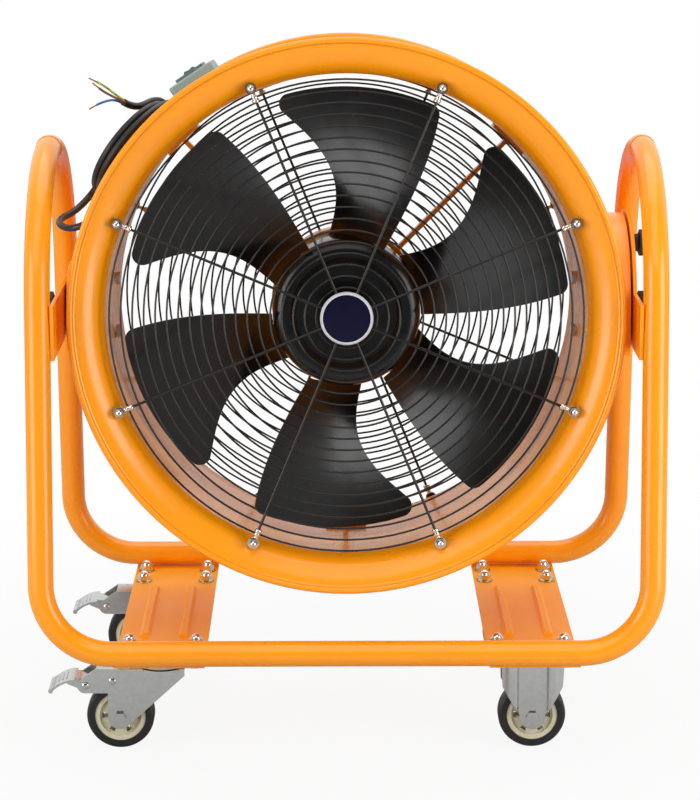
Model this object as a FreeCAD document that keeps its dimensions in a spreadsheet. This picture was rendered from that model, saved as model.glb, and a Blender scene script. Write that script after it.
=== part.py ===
"""Portable drum fan on a wheeled tubular frame, as a parametric FreeCAD document.

Millimetres. +X is to the right of someone facing the outlet grille, +Y points away from them
and +Z is up. The origin is on the floor, under the middle of the frame. Pieces of the drum are
drawn about the drum's own centre, with its axis along Y, and are then tilted on the pivot.
"""
import FreeCAD, Part
import math
import os
import re

import Sketcher
from FreeCAD import Placement, Rotation, Vector

doc = FreeCAD.newDocument("drum_fan")

# Driving dimensions
SIZES = {
    # Drum
    "drum_inner_radius": 264,
    "drum_wall": 1.5,
    "drum_length": 300,
    "lip_width": 40,
    "bead_radius": 3.5,
    "flare_start": 15,
    "flare_end": 85,
    "drum_tilt": 4,
    "tilt_limit": 45,
    # Clearances
    "weld_gap": 0.05,
    "seat_gap": 0.02,
    "face_gap": 0.1,
    "running_gap": 0.05,
    "moving_gap": 0.5,
    "bolt_gap": 0.3,
    # Frame
    "tube_od": 28,
    "tube_wall": 2,
    "base_spacing": 410,
    "leg_lean": 6,
    "corner_radius": 76,
    "hoop_rise": 178,
    "swing_gap": 52.5,
    "side_gap": 6,
    "side_plate_thickness": 4,
    "side_plate_height": 60,
    "side_plate_overhang": 6,
    "base_plate_inset": 127.25,
    "base_plate_setback": 2,
    "base_plate_width": 100,
    "base_plate_thickness": 3,
    "bead_offset": 22,
    "bead_half_width": 6,
    "bead_height": 4,
    "bead_length": 190,
    # Casters
    "caster_height": 106,
    "caster_inset": 54,
    "caster_plate_length": 98,
    "caster_plate_width": 66,
    "caster_plate_thickness": 2.5,
    "hole_spacing_long": 75,
    "hole_spacing_short": 46,
    "caster_bolt_diameter": 8,
    "caster_trail": 46,
    "race_radius": 27,
    "race_height": 9,
    "king_pin_radius": 5,
    "king_head_radius": 9,
    "king_head_height": 3,
    "wheel_diameter": 75,
    "wheel_width": 25,
    "hub_width": 28,
    "tyre_depth": 9.5,
    "axle_diameter": 8,
    "wheel_side_gap": 1,
    "fork_thickness": 2.5,
    "fork_boss_radius": 13,
    "fork_shoulder": 26,
    "window_count": 6,
    # Brake pedals
    "pedal_pivot_back": 84,
    "pedal_pivot_height": 75,
    "pedal_pin_radius": 3,
    "pedal_arm_radius": 9,
    "pedal_reach": 38,
    "pedal_drop": 5,
    "pedal_thickness": 2.5,
    "pedal_width": 44,
    "pedal_steps": 5,
    "pedal_roll_radius": 2.6,
    # Drum brackets, pivots and knobs
    "bracket_thickness": 3,
    "bracket_margin": 12,
    "left_bracket_radius": 50,
    "bracket_bolt_offset": 30,
    "bracket_bolt_diameter": 8,
    "friction_washer_thickness": 2,
    "friction_washer_radius": 22,
    "stud_diameter": 12,
    "stud_head_radius": 11,
    "stud_head_height": 6,
    "lock_inset": 34,
    "quadrant_margin": 4,
    "slot_margin": 1.5,
    "knob_washer_thickness": 2,
    "knob_washer_radius": 14,
    "knob_neck_radius": 10,
    "knob_neck_length": 9,
    "knob_radius": 15,
    "knob_length": 30,
    "knob_lobes": 8,
    "lobe_radius": 3,
    # Grilles
    "ring_count": 19,
    "inner_ring_radius": 33.5,
    "ring_wire_radius": 1.1,
    "rod_radius": 1.5,
    "rod_count": 8,
    "grille_inset": 13.2,
    "grille_edge_gap": 5.5,
    "nut_circle_offset": 5,
    "grille_stud_diameter": 6,
    "eye_radius": 6,
    "eye_thickness": 3.6,
    "center_disc_radius": 26,
    "center_disc_thickness": 2,
    "badge_radius": 29,
    "badge_thickness": 4,
    "badge_rim": 3,
    "badge_recess": 1,
    # Fan and motor
    "blade_tip_gap": 16,
    "blade_count": 6,
    "blade_thickness": 3,
    "blade_pitch": 24,
    "blade_lead_angle": 30.3,
    "blade_lead_sweep": 5.5,
    "blade_trail_angle": 13.8,
    "blade_trail_dip": 62.5,
    "blade_trail_swell": 128.2,
    "blade_trail_ease": 59.3,
    "blade_corner": 12,
    "hub_radius": 82,
    "hub_length": 65,
    "hub_wall": 3,
    "hub_round": 14,
    "fan_group_offset": 8,
    "hub_face_margin": 26,
    "hub_recess": 6,
    "hub_boss_radius": 20,
    "hub_motor_gap": 5,
    "shaft_radius": 8,
    "motor_radius": 75,
    "motor_wall": 5,
    "motor_length": 110,
    "motor_cover_thickness": 8,
    "motor_boss_height": 10,
    "motor_boss_radius": 30,
    "fin_count": 24,
    "fin_height": 5,
    "fin_thickness": 3,
    "bearing_radius": 20,
    "bearing_width": 12,
    "rotor_radius": 42,
    "rotor_length": 66,
    "rotor_air_gap": 0.6,
    # Motor mount
    "mount_ring_wall": 5,
    "mount_ring_width": 34,
    "mount_arm_thickness": 5,
    "mount_arm_depth": 18,
    "mount_arm_angle": 45,
    "mount_foot_width": 46,
    "mount_foot_length": 40,
    "mount_foot_thickness": 4,
    "mount_bolt_diameter": 6,
    "mount_bolt_spacing": 26,
    # Control box
    "box_angle": 124,
    "box_width": 56,
    "box_length": 110,
    "box_setback": 35,
    "box_rise": 35,
    "box_wall": 2.5,
    "lid_height": 12.5,
    "box_corner": 5,
    "box_screw_radius": 2,
    "box_screw_inset": 6,
    "switch_plate_width": 36,
    "switch_plate_length": 66,
    "switch_plate_thickness": 3.5,
    "rocker_radius": 8,
    "rocker_length": 22,
    "capacitor_radius": 11,
    "capacitor_length": 60,
    "gland_inset": 16,
    "gland_height": 20,
    "gland_nut_radius": 11,
    "gland_nut_length": 7,
    "gland_boot_length": 25,
    "gland_tip_radius": 5.5,
    # Power cable
    "cable_diameter": 8,
    "core_diameter": 2.6,
    "coil_angle": 142,
    "coil_center_radius": 290.6,
    "coil_setback": -78,
    "coil_slope": 16.5,
    "coil_outer_radius": 68,
    "coil_pitch": 10,
    "coil_layer_step": 9,
    "coil_half_turns_in": 5,
    "coil_half_turns_out": 4,
}

# Sizes worked out from the driving ones
FORMULAS = {
    "tube_radius": "tube_od / 2",
    "drum_outer_radius": "drum_inner_radius + drum_wall",
    "drum_half": "drum_length / 2",
    "lip_radius": "drum_inner_radius + lip_width",
    "flare_end_radius": "lip_radius - bead_radius",
    "flare_radius": "(flare_end_radius - drum_inner_radius) / (cos(flare_start) - cos(flare_end))",
    "flare_depth": "flare_radius * (sin(flare_end) - sin(flare_start))",
    "barrel_half": "drum_half - bead_radius - flare_depth",
    "flare_center_radius": "drum_inner_radius + flare_radius * cos(flare_start)",
    "flare_center_setback": "barrel_half - flare_radius * sin(flare_start)",
    "flare_back_radius": "flare_radius - drum_wall",
    "drum_reach": "sqrt(lip_radius ^ 2 + drum_half ^ 2)",
    "base_plate_top": "caster_height + base_plate_thickness",
    "base_tube_height": "base_plate_top + weld_gap + tube_radius",
    "bracket_face": "lip_radius + side_gap + bracket_thickness",
    "side_plate_inner": "bracket_face + friction_washer_thickness + 2 * face_gap",
    "side_plate_outer": "side_plate_inner + side_plate_thickness",
    "frame_half_width": "side_plate_outer + weld_gap + tube_radius",
    "base_plate_offset": "frame_half_width - base_plate_inset",
    "base_half": "base_spacing / 2",
    "caster_offset": "base_half - caster_inset",
    "pivot_height": "base_tube_height + sqrt((drum_reach + swing_gap + tube_radius) ^ 2 - base_half ^ 2)",
    "hoop_top": "pivot_height + hoop_rise",
    "hoop_radius": "(base_half * cos(leg_lean) - (hoop_top - base_tube_height) * sin(leg_lean))"
                   " / (1 - sin(leg_lean))",
    "leg_half_at_pivot": "base_half - (pivot_height - base_tube_height) * tan(leg_lean)",
    "side_plate_half": "leg_half_at_pivot + side_plate_overhang",
    "base_plate_half_length": "base_half - base_plate_setback",
    "right_bracket_radius": "barrel_half - bracket_margin",
    "lock_radius": "right_bracket_radius - lock_inset",
    "quadrant_radius": "right_bracket_radius + quadrant_margin",
    "slot_half_angle": "tilt_limit + slot_margin",
    "stud_radius": "stud_diameter / 2",
    "knob_start": "side_plate_outer + knob_washer_thickness + 2 * face_gap",
    "knob_end": "knob_start + knob_neck_length + knob_length",
    "wheel_radius": "wheel_diameter / 2",
    "core_radius": "wheel_radius - tyre_depth",
    "axle_radius": "axle_diameter / 2",
    "fork_inner": "hub_width / 2 + wheel_side_gap",
    "fork_outer": "fork_inner + fork_thickness",
    "caster_plate_bottom": "caster_height - caster_plate_thickness",
    "race_bottom": "caster_plate_bottom - race_height",
    "crown_top": "race_bottom - moving_gap",
    "crown_bottom": "crown_top - fork_thickness",
    "caster_bolt_radius": "caster_bolt_diameter / 2",
    "grille_outer_radius": "drum_inner_radius - grille_edge_gap",
    "ring_pitch": "(grille_outer_radius - inner_ring_radius) / (ring_count - 1)",
    "nut_circle_radius": "drum_inner_radius + nut_circle_offset",
    "grille_plane": "drum_half - grille_inset",
    "ring_drop": "rod_radius + ring_wire_radius + seat_gap",
    "grille_stud_radius": "grille_stud_diameter / 2",
    "blade_tip_radius": "drum_inner_radius - blade_tip_gap",
    "fan_group_length": "hub_length + hub_motor_gap + motor_length + 2 * motor_cover_thickness",
    "hub_front": "fan_group_offset - fan_group_length / 2",
    "hub_back": "hub_front + hub_length",
    "hub_middle": "(hub_front + hub_back) / 2",
    "hub_face_radius": "hub_radius - hub_face_margin",
    "motor_front": "hub_back + hub_motor_gap + motor_cover_thickness",
    "motor_back": "motor_front + motor_length",
    "motor_middle": "(motor_front + motor_back) / 2",
    "fin_radius": "motor_radius + fin_height",
    "mount_ring_inner": "fin_radius + seat_gap",
    "mount_ring_outer": "mount_ring_inner + mount_ring_wall",
    "box_top": "drum_outer_radius + box_rise",
    "lid_top": "box_top + lid_height",
    "switch_top": "lid_top + switch_plate_thickness",
    "gland_setback": "box_setback + box_length / 2 - gland_inset",
    "gland_radius_at": "drum_outer_radius + gland_height",
    "gland_end": "box_width / 2 + gland_nut_length + gland_boot_length",
}


def prefixed(text, inside_derived=False):
    """Gives an expression with each size named through the sheet that holds it."""
    def name(match):
        word = match.group(0)
        if word in SIZES:
            return "Sizes." + word
        if word in FORMULAS and not inside_derived:
            return "Derived." + word
        return word
    return re.sub(r"[A-Za-z_][A-Za-z_0-9]*", name, str(text))


def fill_sheet(name, cells):
    """Makes a sheet with one aliased cell for each entry."""
    sheet = doc.addObject("Spreadsheet::Sheet", name)
    for row, (alias, content) in enumerate(cells.items(), start=1):
        sheet.set(f"A{row}", str(content))
        sheet.setAlias(f"A{row}", alias)
    return sheet


sizes = fill_sheet("Sizes", SIZES)
derived = fill_sheet("Derived", {k: "=" + prefixed(f, True) for k, f in FORMULAS.items()})
doc.recompute()


class Values:
    """Every size of both sheets as a plain number."""


V = Values()
for alias_name in SIZES:
    setattr(V, alias_name, float(sizes.get(alias_name)))
for alias_name in FORMULAS:
    setattr(V, alias_name, float(derived.get(alias_name)))

X_AXIS = Vector(1, 0, 0)
Y_AXIS = Vector(0, 1, 0)
Z_AXIS = Vector(0, 0, 1)
ORIGIN = Vector(0, 0, 0)
AXIS_TURNS = {
    "X": Rotation(Y_AXIS, 90),
    "Y": Rotation(X_AXIS, -90),
    "Z": Rotation(),
}
SIDES = {"left": -1, "right": 1}
ENDS = {"front": -1, "rear": 1}
nodes = []


def number(text):
    """Value of an expression over the sheets."""
    return float(sizes.evalExpression(prefixed(text)))


def bind(obj, **texts):
    """Binds properties of a document object to expressions over the sheets."""
    for prop, text in texts.items():
        obj.setExpression(prop, prefixed(text))


def at(obj, x="0", y="0", z="0"):
    """Binds an object's position."""
    for letter, text in zip("xyz", (x, y, z)):
        obj.setExpression("Placement.Base." + letter, prefixed(text))
    return obj


def node(obj, label):
    """Names an object as a finished piece."""
    obj.Label = label
    nodes.append(obj)
    return obj


def on_drum(obj):
    """Puts a piece drawn about the drum's centre on the pivot, tilted front up."""
    obj.Placement = Placement(Vector(0, 0, V.pivot_height), Rotation(Vector(-1, 0, 0), V.drum_tilt))
    obj.setExpression("Placement.Base.z", "Derived.pivot_height")
    obj.setExpression("Placement.Rotation.Angle", "Sizes.drum_tilt")
    return obj


def cylinder(name, radius, height, base, axis="Z"):
    """Part cylinder along an axis from its base point."""
    obj = doc.addObject("Part::Cylinder", name)
    obj.Placement = Placement(ORIGIN, AXIS_TURNS[axis])
    bind(obj, Radius=radius, Height=height)
    return at(obj, *base)


def box(name, length, width, height, corner):
    """Part box from its lowest corner."""
    obj = doc.addObject("Part::Box", name)
    bind(obj, Length=length, Width=width, Height=height)
    return at(obj, *corner)


def fuse(name, *parts):
    """Part union."""
    obj = doc.addObject("Part::MultiFuse", name)
    obj.Shapes = list(parts)
    obj.Refine = True
    return obj


def cut(name, base, *tools):
    """Part difference of a base and one or more tools."""
    obj = doc.addObject("Part::Cut", name)
    obj.Base = base
    obj.Tool = tools[0] if len(tools) == 1 else fuse(name + "_tools", *tools)
    obj.Refine = True
    return obj


def solid(name, shape):
    """Part feature that holds a shape made with Part's own functions."""
    obj = doc.addObject("Part::Feature", name)
    obj.Shape = shape
    return obj


def origin_plane(body, role):
    """One of a body's own origin planes."""
    return next(item for item in body.Origin.OriginFeatures if item.Role == role)


def arc_center(start, end, radius, side):
    """Centre of an arc of under half a turn; side 1 puts it left of the way from start to end."""
    chord = end - start
    middle = (start + end) * 0.5
    left = Vector(-chord.y, chord.x, 0).normalize()
    return middle + left * side * math.sqrt(max(radius ** 2 - (chord.Length / 2) ** 2, 0))


def outline(body, name, role, corners):
    """Closed sketch through corners (x, y) or (x, y, radius, side) where an arc starts."""
    sketch = body.newObject("Sketcher::SketchObject", name)
    sketch.AttachmentSupport = [(origin_plane(body, role), "")]
    sketch.MapMode = "FlatFace"
    places = [Vector(number(corner[0]), number(corner[1]), 0) for corner in corners]
    starts, finishes = [], []
    for index, corner in enumerate(corners):
        start = places[index]
        end = places[(index + 1) % len(corners)]
        if len(corner) == 2:
            sketch.addGeometry(Part.LineSegment(start, end))
            starts.append(1)
            finishes.append(2)
            continue
        radius = number(corner[2])
        center = arc_center(start, end, radius, corner[3])
        first, last = (start, end) if corner[3] > 0 else (end, start)
        angles = [math.atan2(p.y - center.y, p.x - center.x) for p in (first, last)]
        sketch.addGeometry(Part.ArcOfCircle(Part.Circle(center, Z_AXIS, radius), *angles))
        starts.append(1 if corner[3] > 0 else 2)
        finishes.append(2 if corner[3] > 0 else 1)
    for index, corner in enumerate(corners):
        after = (index + 1) % len(corners)
        sketch.addConstraint(Sketcher.Constraint(
            "Coincident", index, finishes[index], after, starts[after]))
    for index, corner in enumerate(corners):
        for kind, axis, text, value in (
            ("DistanceX", -2, corner[0], places[index].x),
            ("DistanceY", -1, corner[1], places[index].y),
        ):
            if text == "0":
                sketch.addConstraint(Sketcher.Constraint("PointOnObject", index, starts[index], axis))
                continue
            made = sketch.addConstraint(Sketcher.Constraint(kind, -1, 1, index, starts[index], value))
            sketch.setExpression(f"Constraints[{made}]", prefixed(text))
        if len(corner) == 4:
            made = sketch.addConstraint(Sketcher.Constraint("Radius", index, number(corner[2])))
            sketch.setExpression(f"Constraints[{made}]", prefixed(corner[2]))
    return sketch


def turn(body, sketch, name, axis="V_Axis"):
    """Full revolution of a sketch about one of its axes."""
    feature = body.newObject("PartDesign::Revolution", name)
    feature.Profile = sketch
    feature.ReferenceAxis = (sketch, [axis])
    feature.Angle = 360
    return feature


def turned_body(name, corners, axis="V_Axis"):
    """Body that is one revolved outline: (radius, y) about Y, or (x, radius) about X."""
    body = doc.addObject("PartDesign::Body", name)
    turn(body, outline(body, name + "_outline", "XY_Plane", corners), name + "_turn", axis)
    return body


def pocket_pattern(body, sketch, name, count):
    """Through pocket of a sketch, repeated about the body's Y axis."""
    pocket = body.newObject("PartDesign::Pocket", name)
    pocket.Profile = sketch
    pocket.Type = "ThroughAll"
    pocket.Midplane = True
    doc.recompute()
    pattern = body.newObject("PartDesign::PolarPattern", name + "_pattern")
    pattern.Originals = [pocket]
    pattern.Axis = (origin_axis(body, "Y_Axis"), [""])
    pattern.Angle = 360
    bind(pattern, Occurrences=count)
    body.Tip = pattern
    return pattern


def origin_axis(body, role):
    """One of a body's own origin axes."""
    return next(item for item in body.Origin.OriginFeatures if item.Role == role)


def hull_wire(circles, plane):
    """Convex outline round circles (a, b, radius) given anticlockwise, placed by plane(a, b)."""
    count = len(circles)
    leaves, meets = [], []
    for index in range(count):
        a1, b1, r1 = circles[index]
        a2, b2, r2 = circles[(index + 1) % count]
        length = math.hypot(a2 - a1, b2 - b1)
        along = ((a2 - a1) / length, (b2 - b1) / length)
        lean = (r1 - r2) / length
        across = math.sqrt(1 - lean ** 2)
        normal = (along[0] * lean + along[1] * across, along[1] * lean - along[0] * across)
        leaves.append((a1 + r1 * normal[0], b1 + r1 * normal[1], normal))
        meets.append((a2 + r2 * normal[0], b2 + r2 * normal[1], normal))
    edges = []
    for index in range(count):
        a, b, radius = circles[index]
        arrive, leave = meets[index - 1], leaves[index]
        if radius > 0:
            first = math.atan2(arrive[2][1], arrive[2][0])
            sweep = (math.atan2(leave[2][1], leave[2][0]) - first) % (2 * math.pi)
            middle = first + sweep / 2
            edges.append(Part.Arc(
                plane(arrive[0], arrive[1]),
                plane(a + radius * math.cos(middle), b + radius * math.sin(middle)),
                plane(leave[0], leave[1])).toShape())
        reach = meets[index]
        edges.append(Part.LineSegment(plane(leave[0], leave[1]), plane(reach[0], reach[1])).toShape())
    return Part.Wire(edges)


def hull_plate(circles, plane, thickness):
    """Flat plate with a rounded convex outline, thickened along a vector."""
    return Part.Face(hull_wire(circles, plane)).extrude(thickness)


def hexagon(circumradius, height, base, axis):
    """Hexagonal prism from a base point along a unit axis."""
    points = []
    turn_to = Rotation(Z_AXIS, axis)
    for step in range(7):
        angle = math.radians(60 * step)
        flat = Vector(circumradius * math.cos(angle), circumradius * math.sin(angle), 0)
        points.append(base + turn_to.multVec(flat))
    return Part.Face(Part.makePolygon(points)).extrude(axis * height)


def cap_nut(base, axis, bore_radius):
    """Chrome cap nut: washer flange, hexagon and dome, with a blind bore."""
    flange_height = 0.4 * bore_radius
    hex_height = 1.5 * bore_radius
    dome_radius = 1.45 * bore_radius
    flange = Part.makeCylinder(2.1 * bore_radius, flange_height, base, axis)
    body = hexagon(1.85 * bore_radius, hex_height, base + axis * flange_height, axis)
    dome_base = base + axis * (flange_height + hex_height)
    dome = Part.makeSphere(dome_radius, dome_base)
    keep = Part.makeCylinder(2 * dome_radius, 2 * dome_radius, base + axis * flange_height, axis)
    bore = Part.makeCylinder(bore_radius + V.running_gap, flange_height + hex_height, base, axis)
    return flange.multiFuse([body, dome.common(keep)]).removeSplitter().cut(bore)


def bolt(base, axis, radius, length, head_height=None):
    """Hex bolt whose head ends at base and whose shank runs along axis."""
    head_height = head_height or 1.3 * radius
    head = hexagon(1.85 * radius, head_height, base - axis * head_height, axis)
    shank = Part.makeCylinder(radius, length, base, axis)
    return head.fuse(shank).removeSplitter()


def largest(shape):
    """The largest solid of a shape."""
    return max(shape.Solids, key=lambda item: item.Volume)


# Frame tubes: each half is bent from one tube, and the halves butt at the tops of the side hoops
def frame_path(end):
    """Centre line of one half: hoop, leg, corner, bottom run, corner, leg, hoop."""
    lean = math.radians(V.leg_lean)
    half = V.frame_half_width
    corner = V.corner_radius
    hoop_height = V.hoop_top - V.hoop_radius

    def on_leg(x, climb):
        """Point of the leaning plane, a distance up from the bottom tube."""
        return Vector(
            x,
            end * (V.base_half - climb * math.sin(lean)),
            V.base_tube_height + climb * math.cos(lean))

    def on_hoop(x, angle):
        """Point of the hoop's arc, from the leg at the lean angle to the top at 90 degrees."""
        return Vector(
            x,
            end * V.hoop_radius * math.cos(angle),
            hoop_height + V.hoop_radius * math.sin(angle))

    short = corner * (1 - math.sqrt(0.5))
    edges = []
    for side in (-1, 1):
        x = side * half
        inner = side * (half - corner)
        hoop = Part.Arc(on_hoop(x, math.pi / 2), on_hoop(x, (math.pi / 2 + lean) / 2), on_hoop(x, lean))
        leg = Part.LineSegment(on_hoop(x, lean), on_leg(x, corner))
        bend = Part.Arc(on_leg(x, corner), on_leg(side * (half - short), short), on_leg(inner, 0))
        edges.append([hoop.toShape(), leg.toShape(), bend.toShape()])
    bottom = Part.LineSegment(on_leg(-half + corner, 0), on_leg(half - corner, 0)).toShape()
    return Part.Wire(edges[0] + [bottom] + edges[1][::-1])


def frame_tube(name, end):
    """One bent half of the frame, as a hollow tube."""
    path = solid(name + "_path", frame_path(end))
    count = len(path.Shape.Edges)
    sweeps = []
    for part, radius in (("outside", "tube_radius"), ("bore", "tube_radius - tube_wall")):
        ring = doc.addObject("Part::Circle", f"{name}_{part}_ring")
        ring.Placement = Placement(ORIGIN, AXIS_TURNS["Y"])
        bind(ring, Radius=radius)
        at(ring, "-frame_half_width", "0", "hoop_top")
        sweep = doc.addObject("Part::Sweep", f"{name}_{part}")
        sweep.Sections = [ring]
        sweep.Spine = (path, [f"Edge{i + 1}" for i in range(count)])
        sweep.Solid = True
        sweeps.append(sweep)
    return node(cut(name, *sweeps), name)


for end_name, end_sign in ENDS.items():
    frame_tube(f"frame_{end_name}_tube", end_sign)


# Side plates welded to the inner faces of the legs, carrying the drum's pivots
def side_bar(name, side):
    """Flat bar between the legs at pivot height."""
    x = "-side_plate_outer" if side < 0 else "side_plate_inner"
    return box(
        name, "side_plate_thickness", "2 * side_plate_half", "side_plate_height",
        (x, "-side_plate_half", "pivot_height - side_plate_height / 2"))


def across_plate(name, radius, side, y="0", z="pivot_height"):
    """Cylinder through a side plate, along X."""
    x = "-side_plate_outer" if side < 0 else "side_plate_inner"
    return cylinder(name, radius, "side_plate_thickness", (x, y, z), "X")


node(cut(
    "left_side_plate", side_bar("left_bar", -1),
    across_plate("left_pivot_bore", "stud_radius + running_gap", -1)), "left_side_plate")


def slot_sector(name, radius):
    """Sector of a disc over the lock slot's arc."""
    sector = across_plate(name, radius, 1)
    start = Rotation(Z_AXIS, 180 - V.slot_half_angle)
    sector.Placement = Placement(sector.Placement.Base, AXIS_TURNS["X"].multiply(start))
    bind(sector, Angle="2 * slot_half_angle")
    return sector


quadrant_half = across_plate("quadrant_disc", "quadrant_radius", 1)
slot_ring = cut(
    "slot_ring",
    slot_sector("slot_outer", "lock_radius + stud_radius + moving_gap"),
    slot_sector("slot_inner", "lock_radius - stud_radius - moving_gap"))
slot_ends = [
    across_plate(
        f"slot_end_{label}", "stud_radius + moving_gap", 1,
        f"{sign} * lock_radius * sin(slot_half_angle)",
        "pivot_height + lock_radius * cos(slot_half_angle)")
    for label, sign in ENDS.items()
]
node(cut(
    "right_quadrant_plate",
    fuse("quadrant_blank", side_bar("right_bar", 1), quadrant_half),
    slot_ring, *slot_ends,
    across_plate("right_pivot_bore", "stud_radius + running_gap", 1),
    box("quadrant_skirt", "side_plate_thickness", "2 * quadrant_radius", "quadrant_radius",
        ("side_plate_inner", "-quadrant_radius",
         "pivot_height - side_plate_height / 2 - quadrant_radius"))), "right_quadrant_plate")


# Base plates under the bottom tubes, with two pressed beads each
def caster_holes():
    """Bolt places of every caster as (side, end, x, y)."""
    for side_label, side in SIDES.items():
        for end_label, end in ENDS.items():
            for dx in (-1, 1):
                for dy in (-1, 1):
                    yield (
                        side_label, end_label,
                        side * V.base_plate_offset + dx * V.hole_spacing_long / 2,
                        end * V.caster_offset + dy * V.hole_spacing_short / 2)


def base_plate(name, side):
    """Pressed base plate with its beads and its eight bolt holes."""
    center = f"{side} * base_plate_offset"
    plate = box(
        name + "_blank", "base_plate_width", "2 * base_plate_half_length", "base_plate_thickness",
        (f"{center} - base_plate_width / 2", "-base_plate_half_length", "caster_height"))
    beads = []
    for label, offset in (("a", -1), ("b", 1)):
        bead = doc.addObject("PartDesign::Body", f"{name}_bead_{label}")
        sketch = outline(bead, f"{name}_bead_{label}_outline", "XZ_Plane", [
            ("-bead_half_width", "base_plate_thickness / 2"),
            ("bead_half_width", "base_plate_thickness / 2"),
            ("bead_half_width", "base_plate_thickness"),
            ("bead_half_width / 2", "base_plate_thickness + bead_height"),
            ("-bead_half_width / 2", "base_plate_thickness + bead_height"),
            ("-bead_half_width", "base_plate_thickness"),
        ])
        pad = bead.newObject("PartDesign::Pad", f"{name}_bead_{label}_pad")
        pad.Profile = sketch
        pad.Midplane = True
        bind(pad, Length="bead_length")
        at(bead, f"{center} + {offset} * bead_offset", "0", "caster_height")
        beads.append(bead)
    holes = []
    for end in (-1, 1):
        for dx in (-1, 1):
            for dy in (-1, 1):
                holes.append(cylinder(
                    f"{name}_hole_{len(holes)}", "caster_bolt_radius + bolt_gap",
                    "base_plate_thickness", (
                        f"{center} + {dx} * hole_spacing_long / 2",
                        f"{end} * caster_offset + {dy} * hole_spacing_short / 2",
                        "caster_height")))
    return node(cut(name, fuse(name + "_pressed", plate, *beads), *holes), name)


for side_name, side_sign in SIDES.items():
    base_plate(f"{side_name}_base_plate", side_sign)

bolt_length = V.caster_plate_thickness + V.base_plate_thickness + 1.7 * V.caster_bolt_radius
node(solid("caster_bolts", Part.makeCompound([
    bolt(Vector(x, y, V.caster_plate_bottom), Z_AXIS, V.caster_bolt_radius, bolt_length)
    for _, _, x, y in caster_holes()])), "caster_bolts")
node(solid("base_plate_cap_nuts", Part.makeCompound([
    cap_nut(Vector(x, y, V.base_plate_top), Z_AXIS, V.caster_bolt_radius)
    for _, _, x, y in caster_holes()])), "base_plate_cap_nuts")


# Casters: swivelling with a brake on the left, fixed on the right
def caster_plate(side, end):
    """Top plate of a caster with its four bolt holes."""
    x = side * V.base_plate_offset
    y = end * V.caster_offset
    corner = Vector(x - V.caster_plate_length / 2, y - V.caster_plate_width / 2, V.caster_plate_bottom)
    plate = Part.makeBox(V.caster_plate_length, V.caster_plate_width, V.caster_plate_thickness, corner)
    upright = [edge for edge in plate.Edges if edge.tangentAt(edge.FirstParameter).isParallel(Z_AXIS, 0.01)]
    plate = plate.makeFillet(V.fork_thickness * 2, upright)
    for dx in (-1, 1):
        for dy in (-1, 1):
            place = Vector(
                x + dx * V.hole_spacing_long / 2, y + dy * V.hole_spacing_short / 2, V.caster_plate_bottom)
            plate = plate.cut(Part.makeCylinder(
                V.caster_bolt_radius + V.bolt_gap, V.caster_plate_thickness, place))
    return plate


def fork_leg(circles, x, y, face):
    """One leg of a fork: a hull in XZ about x, on the outer side of the wheel's face."""
    start = y + face * V.fork_inner
    return hull_plate(
        circles,
        lambda a, b: Vector(x + a, start, b),
        Vector(0, face * V.fork_thickness, 0))


def fixed_fork(end):
    """Pressed fork of a fixed caster: top plate, two tapered legs and their ribs."""
    x = V.base_plate_offset
    y = end * V.caster_offset
    shoulder = V.caster_plate_bottom
    circles = [
        (0, V.wheel_radius, V.fork_boss_radius),
        (V.fork_shoulder + 6, shoulder - 6, 0),
        (V.fork_shoulder + 6, shoulder, 0),
        (-V.fork_shoulder - 6, shoulder, 0),
        (-V.fork_shoulder - 6, shoulder - 6, 0),
    ]
    parts = []
    for face in (-1, 1):
        parts.append(fork_leg(circles, x, y, face))
        for rib in (-1, 1):
            foot = Vector(
                x + rib * 0.6 * V.fork_boss_radius, y + face * V.fork_outer, V.wheel_radius + V.fork_boss_radius)
            top = Vector(x + rib * 0.6 * V.fork_shoulder, y + face * V.fork_outer, shoulder)
            parts.append(Part.makeCylinder(V.fork_thickness / 2, (top - foot).Length, foot, top - foot))
    fork = caster_plate(1, end).multiFuse(parts).removeSplitter()
    top_slab = Part.makeBox(200, 200, 20, Vector(x - 100, y - 100, V.caster_height))
    bore = Part.makeCylinder(
        V.axle_radius + V.seat_gap, 4 * V.fork_outer, Vector(x, y - 2 * V.fork_outer, V.wheel_radius), Y_AXIS)
    return largest(fork.cut(top_slab).cut(bore))


def axle(x, y):
    """Axle bolt through a fork, with its head in front and a nut behind."""
    length = 2 * V.fork_outer + V.axle_radius
    start = Vector(x, y - V.fork_outer, V.wheel_radius)
    pin = bolt(start, Y_AXIS, V.axle_radius, length)
    nut = hexagon(
        1.85 * V.axle_radius, 1.2 * V.axle_radius, Vector(x, y + V.fork_outer, V.wheel_radius), Y_AXIS)
    return pin.fuse(nut).removeSplitter()


node(solid("fixed_forks", Part.makeCompound([fixed_fork(end) for end in ENDS.values()])), "fixed_forks")
node(solid("fixed_axles", Part.makeCompound([
    axle(V.base_plate_offset, end * V.caster_offset) for end in ENDS.values()])), "fixed_axles")


def swivel_plate(end):
    """Top plate of a swivel caster with its ball race cup and riveted king pin."""
    place = Vector(-V.base_plate_offset, end * V.caster_offset, V.race_bottom)
    race = Part.makeCylinder(V.race_radius, V.race_height, place)
    rim = [edge for edge in race.Edges if abs(edge.BoundBox.ZMax - V.race_bottom) < 0.01 and edge.Closed]
    race = race.makeFillet(V.fork_thickness, rim)
    pin_end = V.crown_bottom - V.moving_gap - V.king_head_height
    foot = Vector(place.x, place.y, pin_end)
    pin = Part.makeCylinder(V.king_pin_radius, V.race_bottom - pin_end, foot)
    head = Part.makeCylinder(V.king_head_radius, V.king_head_height, foot)
    return caster_plate(-1, end).multiFuse([race, pin, head]).removeSplitter()


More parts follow.
